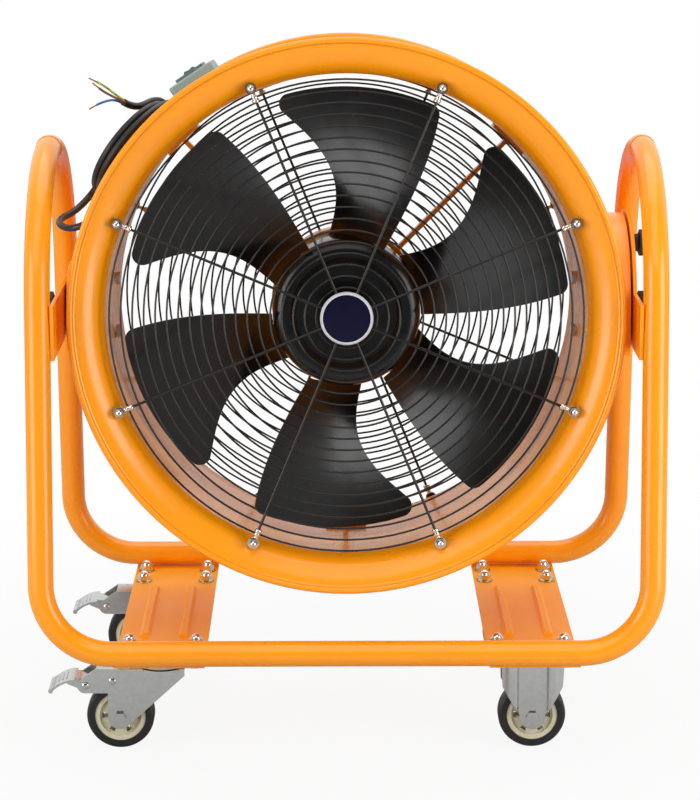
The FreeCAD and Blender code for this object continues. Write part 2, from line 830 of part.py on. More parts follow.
def swivel_fork(end):
    """Yoke of a swivel caster, trailing to the left, with its riveted axle and pedal ears."""
    x = -V.base_plate_offset
    y = end * V.caster_offset
    crown = V.crown_top
    main = [
        (-V.caster_trail, V.wheel_radius, V.fork_boss_radius),
        (V.fork_shoulder, crown - 8, 0),
        (V.fork_shoulder, crown, 0),
        (-V.caster_trail - V.fork_boss_radius, crown, 0),
    ]
    ear = [
        (-V.pedal_pivot_back, V.pedal_pivot_height, V.pedal_arm_radius),
        (-V.caster_trail, V.pedal_pivot_height - V.pedal_arm_radius, 0),
        (-V.caster_trail, crown, 0),
        (-V.caster_trail - V.fork_shoulder, crown, 0),
    ]
    parts = []
    for face in (-1, 1):
        parts.append(fork_leg(main, x, y, face))
        parts.append(fork_leg(ear, x, y, face))
    crown_plate = Part.makeBox(
        V.caster_trail + 2 * V.fork_shoulder, 2 * V.fork_outer, V.fork_thickness,
        Vector(x - V.caster_trail - V.fork_shoulder, y - V.fork_outer, V.crown_bottom))
    crown_disc = Part.makeCylinder(V.race_radius, V.fork_thickness, Vector(x, y, V.crown_bottom))
    fork = crown_plate.multiFuse(parts + [crown_disc]).removeSplitter()
    fork = fork.cut(Part.makeCylinder(
        V.king_pin_radius + V.running_gap, V.fork_thickness, Vector(x, y, V.crown_bottom)))
    fork = fork.cut(pedal_pin_bore(x - V.pedal_pivot_back, y, V.pedal_pin_radius + V.seat_gap))
    return fork.fuse(axle(x - V.caster_trail, y)).removeSplitter()


def pedal_pin_bore(x, y, radius):
    """Cylinder along Y through both ears of a swivel fork."""
    return Part.makeCylinder(
        radius, 2 * V.fork_outer + 4, Vector(x, y - V.fork_outer - 2, V.pedal_pivot_height), Y_AXIS)


def brake_pedal(end):
    """Foot pedal: a bowed tread with a rolled edge, two cheeks inside the fork, and a shoe over the tyre."""
    pivot_x = -V.base_plate_offset - V.pedal_pivot_back
    y = end * V.caster_offset
    height = V.pedal_pivot_height
    inner = V.fork_inner - V.moving_gap
    cheek = [
        (0, 0, V.pedal_arm_radius - 2),
        (0.35 * V.pedal_reach, 4, 3),
        (0, V.pedal_arm_radius, 0),
        (-0.5 * V.pedal_reach, 0.3 * V.pedal_arm_radius, 2),
    ]
    parts = []
    for face in (-1, 1):
        start = y + face * (inner - V.pedal_thickness)
        parts.append(hull_plate(
            cheek,
            lambda a, b: Vector(pivot_x + a, start, height + b),
            Vector(0, face * V.pedal_thickness, 0)))
    tread_start = -V.pedal_arm_radius - 3
    tread_rise = V.pedal_arm_radius - 2 + V.pedal_drop
    tread = []
    for step in range(int(V.pedal_steps) + 1):
        share = step / V.pedal_steps
        tread.append((
            tread_start + share * (-V.pedal_reach - tread_start),
            V.pedal_arm_radius - 2 - tread_rise * share ** 2, V.pedal_thickness / 2))
    for before, after in zip(tread, tread[1:]):
        parts.append(hull_plate(
            [before, after],
            lambda a, b: Vector(pivot_x + a, y - V.pedal_width / 2, height + b),
            Vector(0, V.pedal_width, 0)))
    parts.append(Part.makeCylinder(
        V.pedal_roll_radius, V.pedal_width,
        Vector(pivot_x - V.pedal_reach, y - V.pedal_width / 2, height - V.pedal_drop), Y_AXIS))
    web = [
        (tread_start, V.pedal_arm_radius - 2, V.pedal_thickness / 2),
        (0.3 * V.pedal_reach, 4.5, V.pedal_thickness / 2),
    ]
    parts.append(hull_plate(
        web,
        lambda a, b: Vector(pivot_x + a, y - inner, height + b),
        Vector(0, 2 * inner, 0)))
    pedal = parts[0].multiFuse(parts[1:]).removeSplitter()
    return pedal.cut(pedal_pin_bore(pivot_x, y, V.pedal_pin_radius + V.running_gap))


node(solid("swivel_plates", Part.makeCompound([swivel_plate(end) for end in ENDS.values()])), "swivel_plates")
for end_name, end_sign in ENDS.items():
    fork = swivel_fork(end_sign)
    pin_x = -V.base_plate_offset - V.pedal_pivot_back
    pin = Part.makeCylinder(
        V.pedal_pin_radius, 2 * V.fork_outer + 2,
        Vector(pin_x, end_sign * V.caster_offset - V.fork_outer - 1, V.pedal_pivot_height), Y_AXIS)
    node(solid(f"{end_name}_swivel_fork", Part.makeCompound([fork, pin])), f"{end_name}_swivel_fork")
    node(solid(f"{end_name}_brake_pedal", brake_pedal(end_sign)), f"{end_name}_brake_pedal")


def wheel(name, x, end):
    """Cream wheel core with its windows, and the tyre round it."""
    core = turned_body(name + "_core", [
        ("axle_radius + running_gap", "-hub_width / 2"),
        ("axle_radius + 5", "-hub_width / 2"),
        ("axle_radius + 6", "-wheel_width / 2 + 4"),
        ("core_radius - 6", "-wheel_width / 2 + 4"),
        ("core_radius - 5", "-wheel_width / 2 + 1"),
        ("core_radius - seat_gap", "-wheel_width / 2 + 1"),
        ("core_radius - seat_gap", "wheel_width / 2 - 1"),
        ("core_radius - 5", "wheel_width / 2 - 1"),
        ("core_radius - 6", "wheel_width / 2 - 4"),
        ("axle_radius + 6", "wheel_width / 2 - 4"),
        ("axle_radius + 5", "hub_width / 2"),
        ("axle_radius + running_gap", "hub_width / 2"),
    ])
    low, high = "axle_radius + 9", "core_radius - 7.5"
    half = "(60 / window_count)"
    window = outline(core, name + "_window", "XZ_Plane", [
        (f"({low}) * cos({half})", f"-({low}) * sin({half})"),
        (f"({high}) * cos({half})", f"-({high}) * sin({half})", high, 1),
        (f"({high}) * cos({half})", f"({high}) * sin({half})"),
        (f"({low}) * cos({half})", f"({low}) * sin({half})", low, -1),
    ])
    pocket_pattern(core, window, name + "_windows", "window_count")
    tyre = turned_body(name + "_tyre", [
        ("core_radius", "-wheel_width / 2"),
        ("wheel_radius - 3", "-wheel_width / 2"),
        ("wheel_radius - 0.8", "-wheel_width / 2 + 2"),
        ("wheel_radius", "-wheel_width / 2 + 5"),
        ("wheel_radius", "wheel_width / 2 - 5"),
        ("wheel_radius - 0.8", "wheel_width / 2 - 2"),
        ("wheel_radius - 3", "wheel_width / 2"),
        ("core_radius", "wheel_width / 2"),
    ])
    for body in (core, tyre):
        at(body, x, f"{end} * caster_offset", "wheel_radius")
        node(body, body.Name)


for end_name, end_sign in ENDS.items():
    wheel(f"{end_name}_left_wheel", "-base_plate_offset - caster_trail", end_sign)
    wheel(f"{end_name}_right_wheel", "base_plate_offset", end_sign)


# Drum shell: barrel, flared lips and rolled edges
def drum_blank():
    """Revolved sheet of the drum with both lips."""
    center = "flare_center_radius"
    corners = []
    for sign in ("-", ""):
        setback = f"{sign}flare_center_setback"
        grow = "-" if sign else "+"
        air = "flare_radius"
        back = "flare_back_radius"
        lip = [
            ("drum_inner_radius", f"{sign}barrel_half", air, 1 if sign else -1),
            (f"{center} - {air} * cos(flare_end)", f"{setback} {grow} {air} * sin(flare_end)"),
            (f"{center} - {back} * cos(flare_end)", f"{setback} {grow} {back} * sin(flare_end)",
             back, -1 if sign else 1),
            (f"{center} - {back} * cos(flare_start)", f"{setback} {grow} {back} * sin(flare_start)"),
            ("drum_outer_radius", f"{sign}(barrel_half - drum_wall)"),
        ]
        corners.append(lip)
    front, rear = corners
    backward = [
        (rear[4][0], rear[4][1]),
        (rear[3][0], rear[3][1], "flare_back_radius", -1),
        (rear[2][0], rear[2][1]),
        (rear[1][0], rear[1][1], "flare_radius", 1),
        (rear[0][0], rear[0][1]),
    ]
    body = doc.addObject("PartDesign::Body", "drum_blank")
    turn(body, outline(body, "drum_outline", "XY_Plane", front + backward), "drum_turn")
    for label, sign in ENDS.items():
        sketch = body.newObject("Sketcher::SketchObject", f"{label}_bead_outline")
        sketch.AttachmentSupport = [(origin_plane(body, "XY_Plane"), "")]
        sketch.MapMode = "FlatFace"
        place = Vector(V.flare_end_radius, sign * (V.drum_half - V.bead_radius), 0)
        sketch.addGeometry(Part.Circle(place, Z_AXIS, V.bead_radius))
        for kind, value, text in (
            ("DistanceX", place.x, "flare_end_radius"),
            ("DistanceY", place.y, f"{sign} * (drum_half - bead_radius)"),
        ):
            made = sketch.addConstraint(Sketcher.Constraint(kind, -1, 1, 0, 3, value))
            sketch.setExpression(f"Constraints[{made}]", prefixed(text))
        made = sketch.addConstraint(Sketcher.Constraint("Radius", 0, V.bead_radius))
        sketch.setExpression(f"Constraints[{made}]", "Sizes.bead_radius")
        turn(body, sketch, f"{label}_bead_turn")
    return body


def on_barrel(angle, radius):
    """Point of the drum's cross-section at an angle from +X towards +Z."""
    return Vector(radius * math.cos(math.radians(angle)), 0, radius * math.sin(math.radians(angle)))


mount_y = V.motor_middle
mount_angles = [V.mount_arm_angle, 180 - V.mount_arm_angle, 270]


def mount_bolt_places():
    """Angle and y of each bolt through a motor mount foot."""
    for angle in mount_angles:
        for step in (-1, 1):
            yield angle, mount_y + step * V.mount_bolt_spacing / 2


drum_holes = []
for side_name, side_sign in SIDES.items():
    for end_name, end_sign in ENDS.items():
        drum_holes.append(cylinder(
            f"drum_{side_name}_bolt_hole_{end_name}", "bracket_bolt_diameter / 2 + bolt_gap", "drum_outer_radius",
            ("0" if side_sign > 0 else "-drum_outer_radius", "0", f"{end_sign} * bracket_bolt_offset"), "X"))
mount_hole_shapes = [
    Part.makeCylinder(
        V.mount_bolt_diameter / 2 + V.bolt_gap, V.drum_outer_radius,
        Vector(0, y, 0), on_barrel(angle, 1)) for angle, y in mount_bolt_places()]
drum_holes += [solid(f"mount_hole_{i}", shape) for i, shape in enumerate(mount_hole_shapes)]
drum_shell = on_drum(cut("drum_shell", drum_blank(), *drum_holes))
node(drum_shell, "drum_shell")
doc.recompute()
drum_shape = drum_shell.Shape.copy()
drum_shape.Placement = Placement()


# Wire grilles, their studs and cap nuts, and the bare badge disc
def rod_angle(step):
    """Angle of one radial rod."""
    return 360 / V.rod_count * (step + 0.5)


def grille(name, end):
    """Grille: a spider of radial rods with flattened eyes and a centre disc, and the rings on it."""
    plane = f"{end} * grille_plane"
    parts = [cylinder(
        name + "_center", "center_disc_radius", "center_disc_thickness",
        ("0", f"{plane} - center_disc_thickness / 2", "0"), "Y")]
    rings = []
    for index in range(int(V.ring_count)):
        ring = doc.addObject("Part::Torus", f"{name}_ring_{index}")
        ring.Placement = Placement(ORIGIN, AXIS_TURNS["Y"])
        bind(ring, Radius1=f"grille_outer_radius - {index} * ring_pitch", Radius2="ring_wire_radius")
        rings.append(at(ring, "0", f"{plane} - {end} * ring_drop", "0"))
    for index in range(int(V.rod_count)):
        angle = rod_angle(index)
        rod = doc.addObject("Part::Cylinder", f"{name}_rod_{index}")
        rod.Placement = Placement(ORIGIN, Rotation(Y_AXIS, 90 - angle))
        bind(rod, Radius="rod_radius", Height="nut_circle_radius - eye_radius / 2 - center_disc_radius / 2")
        away = "center_disc_radius / 2"
        parts.append(at(rod, f"{away} * cos({angle})", plane, f"{away} * sin({angle})"))
        eye = cylinder(
            f"{name}_eye_{index}", "eye_radius", "eye_thickness", (
                f"nut_circle_radius * cos({angle})",
                f"{plane} - eye_thickness / 2",
                f"nut_circle_radius * sin({angle})"), "Y")
        parts.append(eye)
    holes = [cylinder(
        f"{name}_eye_hole_{index}", "grille_stud_radius + running_gap", "eye_thickness", (
            f"nut_circle_radius * cos({rod_angle(index)})",
            f"{plane} - eye_thickness / 2",
            f"nut_circle_radius * sin({rod_angle(index)})"), "Y") for index in range(int(V.rod_count))]
    group = doc.addObject("Part::Compound", name)
    group.Links = [cut(name + "_spider", fuse(name + "_rods", *parts), *holes), *rings]
    return node(on_drum(group), name)


grille_studs = []
grille_nuts = []
for end_name, end_sign in ENDS.items():
    grille(f"{end_name}_grille", end_sign)
    outward = Y_AXIS * end_sign
    for step in range(int(V.rod_count)):
        seat = on_barrel(rod_angle(step), V.nut_circle_radius)
        nut_base = seat + outward * (V.grille_plane + V.eye_thickness / 2)
        stud_length = 1.4 * V.grille_stud_radius + V.eye_thickness + V.flare_depth / 2
        stud_top = nut_base + outward * 1.4 * V.grille_stud_radius
        stud = Part.makeCylinder(V.grille_stud_radius, stud_length, stud_top, outward * -1)
        front_piece = max(stud.cut(drum_shape).Solids, key=lambda piece: piece.CenterOfMass.dot(outward))
        grille_studs.append(front_piece)
        grille_nuts.append(cap_nut(nut_base, outward, V.grille_stud_radius))
node(on_drum(solid("grille_studs", Part.makeCompound(grille_studs))), "grille_studs")
node(on_drum(solid("grille_cap_nuts", Part.makeCompound(grille_nuts))), "grille_cap_nuts")

badge_back = "-grille_plane - rod_radius"
node(on_drum(turned_body("badge_disc", [
    ("0", badge_back),
    ("badge_radius", badge_back),
    ("badge_radius", f"{badge_back} - badge_thickness / 2"),
    ("badge_radius - badge_rim / 2", f"{badge_back} - badge_thickness"),
    ("badge_radius - badge_rim", f"{badge_back} - badge_thickness"),
    ("badge_radius - badge_rim", f"{badge_back} - badge_thickness + badge_recess"),
    ("0", f"{badge_back} - badge_thickness + badge_recess"),
])), "badge_disc")


# Drum brackets: pressed half boxes between the barrel and the side plates
def bracket_shape(side, radius):
    """Round-topped plate with a rim turned in to the barrel and a saddle bolted to it."""
    wall = V.bracket_thickness
    skirt = V.bracket_bolt_offset + 2 * V.bracket_bolt_diameter

    def prism(size, reach, down):
        """Round-topped outline carried along X from the drum's middle."""
        top = hull_wire(
            [(-size, -down, 0), (size, -down, 0), (0, 0, size)],
            lambda a, b: Vector(0, a, b))
        return Part.Face(top).extrude(Vector(side * reach, 0, 0))

    barrel = Part.makeCylinder(
        V.drum_outer_radius + V.seat_gap, 4 * V.drum_half, Vector(0, -2 * V.drum_half, 0), Y_AXIS)
    saddle = Part.makeCylinder(
        V.drum_outer_radius + wall, 4 * V.drum_half, Vector(0, -2 * V.drum_half, 0), Y_AXIS)
    outside = prism(radius, V.bracket_face, min(skirt, radius)).cut(barrel)
    inside = prism(radius - wall, V.bracket_face - wall, min(skirt, radius) + wall).cut(saddle)
    bracket = largest(outside.cut(inside))
    for step in (-1, 1):
        bracket = bracket.cut(Part.makeCylinder(
            V.bracket_bolt_diameter / 2 + V.bolt_gap, V.lip_radius,
            Vector(0, 0, step * V.bracket_bolt_offset), X_AXIS * side).cut(
                Part.makeBox(100, 600, 600, Vector(
                    (V.bracket_face - wall - 1) if side > 0 else -(V.bracket_face - wall - 1) - 100, -300, -300))))
    for height in stud_heights(side):
        bracket = bracket.cut(Part.makeCylinder(
            V.stud_radius + V.seat_gap, 2 * wall,
            Vector(side * (V.bracket_face - 1.5 * wall), 0, height), X_AXIS * side))
    return bracket


def stud_heights(side):
    """Heights above the pivot of the studs on one side: the pivot, and on the right the lock."""
    return (0,) if side < 0 else (0, V.lock_radius)


def stud_shape(side, height):
    """Stud with its head inside the bracket and its thread under the knob."""
    axis = X_AXIS * side
    start = V.bracket_face - V.bracket_thickness
    head = Part.makeCylinder(
        V.stud_head_radius, V.stud_head_height,
        Vector(side * (start - V.stud_head_height), 0, height), axis)
    length = V.knob_end - 0.4 * V.knob_length - start
    shank = Part.makeCylinder(V.stud_radius, length, Vector(side * start, 0, height), axis)
    return head.fuse(shank).removeSplitter()


def bracket_bolt(side, step):
    """Bolt from inside the drum through the barrel and the saddle, with its nut."""
    axis = X_AXIS * side
    height = step * V.bracket_bolt_offset
    radius = V.bracket_bolt_diameter / 2
    head_seat = math.sqrt(V.drum_inner_radius ** 2 - (abs(height) + 2 * radius) ** 2) - V.seat_gap
    nut_seat = V.drum_outer_radius + V.bracket_thickness + V.face_gap
    made = bolt(Vector(side * head_seat, 0, height), axis, radius, nut_seat - head_seat + 2 * radius)
    nut = hexagon(1.85 * radius, 1.6 * radius, Vector(side * nut_seat, 0, height), axis)
    return made.fuse(nut).removeSplitter()


for side_name, side_sign in SIDES.items():
    bracket_radius = V.left_bracket_radius if side_sign < 0 else V.right_bracket_radius
    node(on_drum(solid(
        f"{side_name}_drum_bracket", bracket_shape(side_sign, bracket_radius))), f"{side_name}_drum_bracket")
node(on_drum(solid("drum_bracket_bolts", Part.makeCompound([
    bracket_bolt(side, step) for side in SIDES.values() for step in (-1, 1)]))), "drum_bracket_bolts")
node(on_drum(solid("drum_pivot_studs", Part.makeCompound([
    stud_shape(side, height) for side in SIDES.values() for height in stud_heights(side)]))), "drum_pivot_studs")


def ring_shape(x, side, height, outer, inner, thickness):
    """Flat ring along X."""
    start = Vector(side * x, 0, height)
    axis = X_AXIS * side
    return Part.makeCylinder(outer, thickness, start, axis).cut(
        Part.makeCylinder(inner, thickness, start, axis))


washers = []
for washer_start, washer_radius, washer_thickness in (
    (V.bracket_face, V.friction_washer_radius, V.friction_washer_thickness),
    (V.side_plate_outer, V.knob_washer_radius, V.knob_washer_thickness),
):
    washers += [
        ring_shape(
            washer_start + V.face_gap, side, height, washer_radius,
            V.stud_radius + V.running_gap, washer_thickness)
        for side in SIDES.values() for height in stud_heights(side)]
node(on_drum(solid("pivot_washers", Part.makeCompound(washers))), "pivot_washers")


def knob(name, side, height):
    """Lobed clamping knob with a neck and a blind threaded bore."""
    sign = "-" if side < 0 else ""
    bore_end = "knob_end - 0.4 * knob_length + moving_gap"
    body = turned_body(name + "_blank", [
        (f"{sign}knob_start", "stud_radius + running_gap"),
        (f"{sign}knob_start", "knob_neck_radius"),
        (f"{sign}(knob_start + knob_neck_length)", "knob_neck_radius"),
        (f"{sign}(knob_start + knob_neck_length + 2)", "knob_radius"),
        (f"{sign}(knob_end - 3)", "knob_radius"),
        (f"{sign}knob_end", "knob_radius - 3"),
        (f"{sign}knob_end", "0"),
        (f"{sign}({bore_end})", "0"),
        (f"{sign}({bore_end})", "stud_radius + running_gap"),
    ], "H_Axis")
    grooves = []
    for step in range(int(V.knob_lobes)):
        angle = 360 / V.knob_lobes * (step + 0.5)
        away = "(knob_radius + 0.6 * lobe_radius)"
        grooves.append(cylinder(
            f"{name}_groove_{step}", "lobe_radius", "knob_length",
            ("-knob_end" if side < 0 else "knob_end - knob_length",
             f"{away} * cos({angle})", f"{away} * sin({angle})"), "X"))
    obj = cut(name, body, *grooves)
    lean = math.radians(V.drum_tilt)
    up = Vector(0, height * math.sin(lean), V.pivot_height + height * math.cos(lean))
    obj.Placement = Placement(up, Rotation(Vector(-1, 0, 0), V.drum_tilt))
    obj.setExpression("Placement.Rotation.Angle", "Sizes.drum_tilt")
    return node(obj, name)


knob("left_pivot_knob", -1, 0)
knob("right_pivot_knob", 1, 0)
knob("tilt_lock_knob", 1, V.lock_radius)


# Impeller
def blade_middle():
    """Angle of a blade's middle from its root line, in degrees."""
    return (V.blade_trail_angle - V.blade_lead_angle) / 2


def blade_slab():
    """Twisted sheet of one blade: its height along the axis grows with the angle, less at the tip."""
    reach = 1.5 * V.blade_lead_angle
    rows = []
    for radial in range(7):
        radius = V.hub_radius * 0.8 + (V.blade_tip_radius + 20 - V.hub_radius * 0.8) * radial / 6
        climb = math.tan(math.radians(V.blade_pitch)) * (V.blade_tip_radius + V.hub_radius) / 2
        climb *= math.sqrt((V.blade_tip_radius + V.hub_radius) / 2 / radius)
        row = []
        for step in range(9):
            angle = reach * (step / 4 - 1)
            place = on_barrel(90 + blade_middle() + angle, radius)
            row.append(Vector(place.x, V.hub_middle + climb * math.radians(angle), place.z))
        rows.append(row)
    surface = Part.BSplineSurface()
    surface.interpolate(rows)
    return surface.toShape().extrude(Vector(0, V.blade_thickness, 0))


def blade_outline():
    """Front view of a blade: a hollow trailing edge, a nearly straight leading edge and a round tip."""
    root = 0.9 * V.hub_radius

    def lead(share):
        """Leading edge, right of straight up, at a share of the way from the hub to the tip."""
        return -V.blade_lead_angle + V.blade_lead_sweep * share ** 2

    def trail(share):
        """Trailing edge, left of straight up."""
        return (V.blade_trail_angle - V.blade_trail_dip * share + V.blade_trail_swell * share ** 2
                - V.blade_trail_ease * share ** 3)

    def edge(angle_at):
        """Spline along one edge from the root to the tip circle."""
        points = []
        for step in range(9):
            radius = root + (V.blade_tip_radius - root) * step / 8
            share = (radius - V.hub_radius) / (V.blade_tip_radius - V.hub_radius)
            points.append(on_barrel(90 + angle_at(share), radius) - Y_AXIS * V.drum_half)
        curve = Part.BSplineCurve()
        curve.interpolate(points)
        return curve.toShape(), points[0], points[-1]

    left, left_root, left_tip = edge(trail)
    right, right_root, right_tip = edge(lead)
    top = on_barrel(90 + (trail(1) + lead(1)) / 2, V.blade_tip_radius) - Y_AXIS * V.drum_half
    tip = Part.Arc(left_tip, top, right_tip).toShape()
    foot = Part.LineSegment(right_root, left_root).toShape()
    prism = Part.Face(Part.Wire(Part.__sortEdges__([left, tip, right, foot]))).extrude(Y_AXIS * V.drum_length)
    corners = [
        item for item in prism.Edges
        if len(item.Vertexes) == 2 and item.tangentAt(item.FirstParameter).isParallel(Y_AXIS, 0.001)
        and item.Vertexes[0].Point.cross(Y_AXIS).Length > V.blade_tip_radius - 1]
    return prism.makeFillet(V.blade_corner, corners)


def blade_shapes():
    """All the blades, cut to the hub and to the tip circle."""
    hub = Part.makeCylinder(V.hub_radius + V.seat_gap, V.drum_length, Vector(0, -V.drum_half, 0), Y_AXIS)
    tip = Part.makeCylinder(V.blade_tip_radius, V.drum_length, Vector(0, -V.drum_half, 0), Y_AXIS)
    outline_prism = blade_outline()
    first = largest(blade_slab().common(outline_prism).common(tip).cut(hub))
    made = []
    for step in range(int(V.blade_count)):
        copy = first.copy()
        copy.rotate(ORIGIN, Y_AXIS, 360 / V.blade_count * step)
        made.append(copy)
    return made


node(on_drum(solid("fan_blades", Part.makeCompound(blade_shapes()))), "fan_blades")
node(on_drum(turned_body("fan_hub", [
    ("shaft_radius + seat_gap", "hub_front + hub_recess"),
    ("hub_face_radius", "hub_front + hub_recess"),
    ("hub_face_radius + hub_recess", "hub_front"),
    ("hub_radius - hub_round", "hub_front", "hub_round", 1),
    ("hub_radius", "hub_front + hub_round"),
    ("hub_radius", "hub_back"),
    ("hub_radius - hub_wall", "hub_back"),
    ("hub_radius - hub_wall", "hub_front + hub_round"),
    ("hub_radius - hub_round", "hub_front + hub_wall + hub_recess"),
    ("hub_boss_radius", "hub_front + hub_wall + hub_recess"),
    ("hub_boss_radius", "hub_back - hub_wall"),
    ("shaft_radius + seat_gap", "hub_back - hub_wall"),
])), "fan_hub")
node(on_drum(turned_body("motor_rotor_shaft", [
    ("0", "hub_front - 2 * shaft_radius"),
    ("shaft_radius", "hub_front - 2 * shaft_radius"),
    ("shaft_radius", "motor_middle - rotor_length / 2"),
    ("rotor_radius", "motor_middle - rotor_length / 2"),
    ("rotor_radius", "motor_middle + rotor_length / 2"),
    ("shaft_radius", "motor_middle + rotor_length / 2"),
    ("shaft_radius", "motor_back + motor_cover_thickness"),
    ("0", "motor_back + motor_cover_thickness"),
])), "motor_rotor_shaft")
nut_seat = Vector(0, V.hub_front + V.hub_recess, 0)
hub_nut = hexagon(1.85 * V.shaft_radius, 1.5 * V.shaft_radius, nut_seat, Y_AXIS * -1).cut(
    Part.makeCylinder(V.shaft_radius + V.running_gap, V.drum_half, Vector(0, -V.drum_half, 0), Y_AXIS))
node(on_drum(solid("hub_nut", hub_nut)), "hub_nut")


# Motor: finned housing, end covers, stator and bearings
motor_fins = []
for fin_step in range(int(V.fin_count)):
    fin_turn = 360 / V.fin_count * fin_step
    fin = doc.addObject("Part::Box", f"motor_fin_{fin_step}")
    fin.Placement = Placement(ORIGIN, Rotation(Y_AXIS, fin_turn))
    bind(fin, Length="fin_height + motor_wall / 2", Width="motor_length", Height="fin_thickness")
    fin_from = "(motor_radius - motor_wall / 2)"
    at(fin,
       f"{fin_from} * cos({fin_turn}) - fin_thickness / 2 * sin({fin_turn})", "motor_front",
       f"-{fin_from} * sin({fin_turn}) - fin_thickness / 2 * cos({fin_turn})")
    motor_fins.append(fin)
housing_tube = cylinder("motor_tube", "motor_radius", "motor_length", ("0", "motor_front", "0"), "Y")
housing_trim = cylinder("motor_fin_limit", "fin_radius", "motor_length", ("0", "motor_front", "0"), "Y")
housing_round = doc.addObject("Part::MultiCommon", "motor_finned")
housing_round.Shapes = [fuse("motor_blank", housing_tube, *motor_fins), housing_trim]
node(on_drum(cut(
    "motor_housing", housing_round,
    cylinder("motor_bore", "motor_radius - motor_wall", "motor_length", ("0", "motor_front", "0"), "Y"))),
    "motor_housing")


def motor_cover(name, sign, seat):
    """End cover with a bearing seat on its inner side."""
    return node(on_drum(turned_body(name, [
        ("shaft_radius + moving_gap", f"{seat} + {sign} * motor_cover_thickness"),
        ("motor_radius - 4", f"{seat} + {sign} * motor_cover_thickness"),
        ("motor_radius", f"{seat} + {sign} * (motor_cover_thickness - 4)"),
        ("motor_radius", seat),
        ("motor_boss_radius", seat),
        ("motor_boss_radius", f"{seat} - {sign} * motor_boss_height"),
        ("bearing_radius + seat_gap", f"{seat} - {sign} * motor_boss_height"),
        ("bearing_radius + seat_gap", f"{seat} - {sign} * motor_boss_height + {sign} * bearing_width"),
        ("shaft_radius + moving_gap", f"{seat} - {sign} * motor_boss_height + {sign} * bearing_width"),
    ])), name)


motor_cover("motor_front_cover", -1, "motor_front")
motor_cover("motor_rear_cover", 1, "motor_back")


def bearing(sign, seat):
    """Ball bearing as one ring in its seat."""
    start = Vector(0, seat - sign * V.motor_boss_height, 0)
    axis = Y_AXIS * sign
    ring = Part.makeCylinder(V.bearing_radius, V.bearing_width - V.face_gap, start, axis)
    return ring.cut(Part.makeCylinder(V.shaft_radius + V.running_gap, V.bearing_width, start, axis))


node(on_drum(solid("motor_bearings", Part.makeCompound([
    bearing(-1, V.motor_front), bearing(1, V.motor_back)]))), "motor_bearings")
node(on_drum(turned_body("motor_stator", [
    ("rotor_radius + rotor_air_gap", "motor_middle - rotor_length / 2"),
    ("motor_radius - motor_wall - running_gap", "motor_middle - rotor_length / 2"),
    ("motor_radius - motor_wall - running_gap", "motor_middle + rotor_length / 2"),
    ("rotor_radius + rotor_air_gap", "motor_middle + rotor_length / 2"),
])), "motor_stator")


# Motor mount: a clamp ring round the motor with two upper arms and a lower one bolted to the barrel
def motor_mount():
    """Ring, arms and curved feet, welded together."""
    ring_start = Vector(0, mount_y - V.mount_ring_width / 2, 0)
    ring = Part.makeCylinder(V.mount_ring_outer, V.mount_ring_width, ring_start, Y_AXIS)
    hollow = Part.makeCylinder(V.mount_ring_inner, V.mount_ring_width, ring_start, Y_AXIS)
    barrel_start = Vector(0, -V.drum_half, 0)
    barrel = Part.makeCylinder(V.drum_inner_radius - V.seat_gap, V.drum_length, barrel_start, Y_AXIS)
    inner = Part.makeCylinder(V.drum_inner_radius - V.mount_foot_thickness, V.drum_length, barrel_start, Y_AXIS)
    parts = []
    arm_start = (V.mount_ring_inner + V.mount_ring_outer) / 2
    arm_end = V.drum_inner_radius - V.mount_foot_thickness / 2
    for angle in mount_angles:
        arm = Part.makeBox(
            arm_end - arm_start, V.mount_arm_depth, V.mount_arm_thickness,
            Vector(arm_start, mount_y - V.mount_arm_depth / 2, -V.mount_arm_thickness / 2))
        arm.rotate(ORIGIN, Y_AXIS, -angle)
        parts.append(arm)
        foot = Part.makeBox(
            V.lip_width, V.mount_foot_length, V.mount_foot_width,
            Vector(V.drum_inner_radius - V.lip_width / 2, mount_y - V.mount_foot_length / 2, -V.mount_foot_width / 2))
        foot.rotate(ORIGIN, Y_AXIS, -angle)
        parts.append(foot.common(barrel).cut(inner))
    mount = ring.cut(hollow).multiFuse(parts).removeSplitter().cut(hollow)
    for angle, y in mount_bolt_places():
        mount = mount.cut(Part.makeCylinder(
            V.mount_bolt_diameter / 2 + V.seat_gap, V.drum_outer_radius, Vector(0, y, 0), on_barrel(angle, 1)).cut(
                Part.makeCylinder(V.drum_inner_radius - V.mount_foot_thickness - 1, V.drum_length, barrel_start, Y_AXIS)))
    return mount


node(on_drum(solid("motor_mount", motor_mount())), "motor_mount")
node(on_drum(solid("motor_mount_bolts", Part.makeCompound([
    bolt(
        on_barrel(angle, V.drum_outer_radius + V.face_gap) + Vector(0, y, 0), on_barrel(angle, -1),
        V.mount_bolt_diameter / 2, V.drum_wall + V.mount_foot_thickness)
    for angle, y in mount_bolt_places()]))), "motor_mount_bolts")


# Control box: drawn on the +X side, then turned to its angle round the drum
box_turn = Rotation(Y_AXIS, -V.box_angle)


def on_box(shape):
    """Turns a shape from the +X side to the control box's angle, inside a group that can be placed."""
    shape.rotate(ORIGIN, Y_AXIS, -V.box_angle)
    return Part.makeCompound([shape])


def box_block(low, high, width, length, corner=0.0):
    """Block between two radii, centred on the control box, with rounded upright edges."""
    block = Part.makeBox(
        high - low, length, width, Vector(low, V.box_setback - length / 2, -width / 2))
    if corner:
        upright = [e for e in block.Edges if e.tangentAt(e.FirstParameter).isParallel(X_AXIS, 0.01)]
        block = block.makeFillet(corner, upright)
    return block


def box_screw_places():
    """Corners of the box that hold the lid's screws."""
    for across in (-1, 1):
        for along in (-1, 1):
            yield (
                V.box_setback + along * (V.box_length / 2 - V.box_screw_inset),
                across * (V.box_width / 2 - V.box_screw_inset))


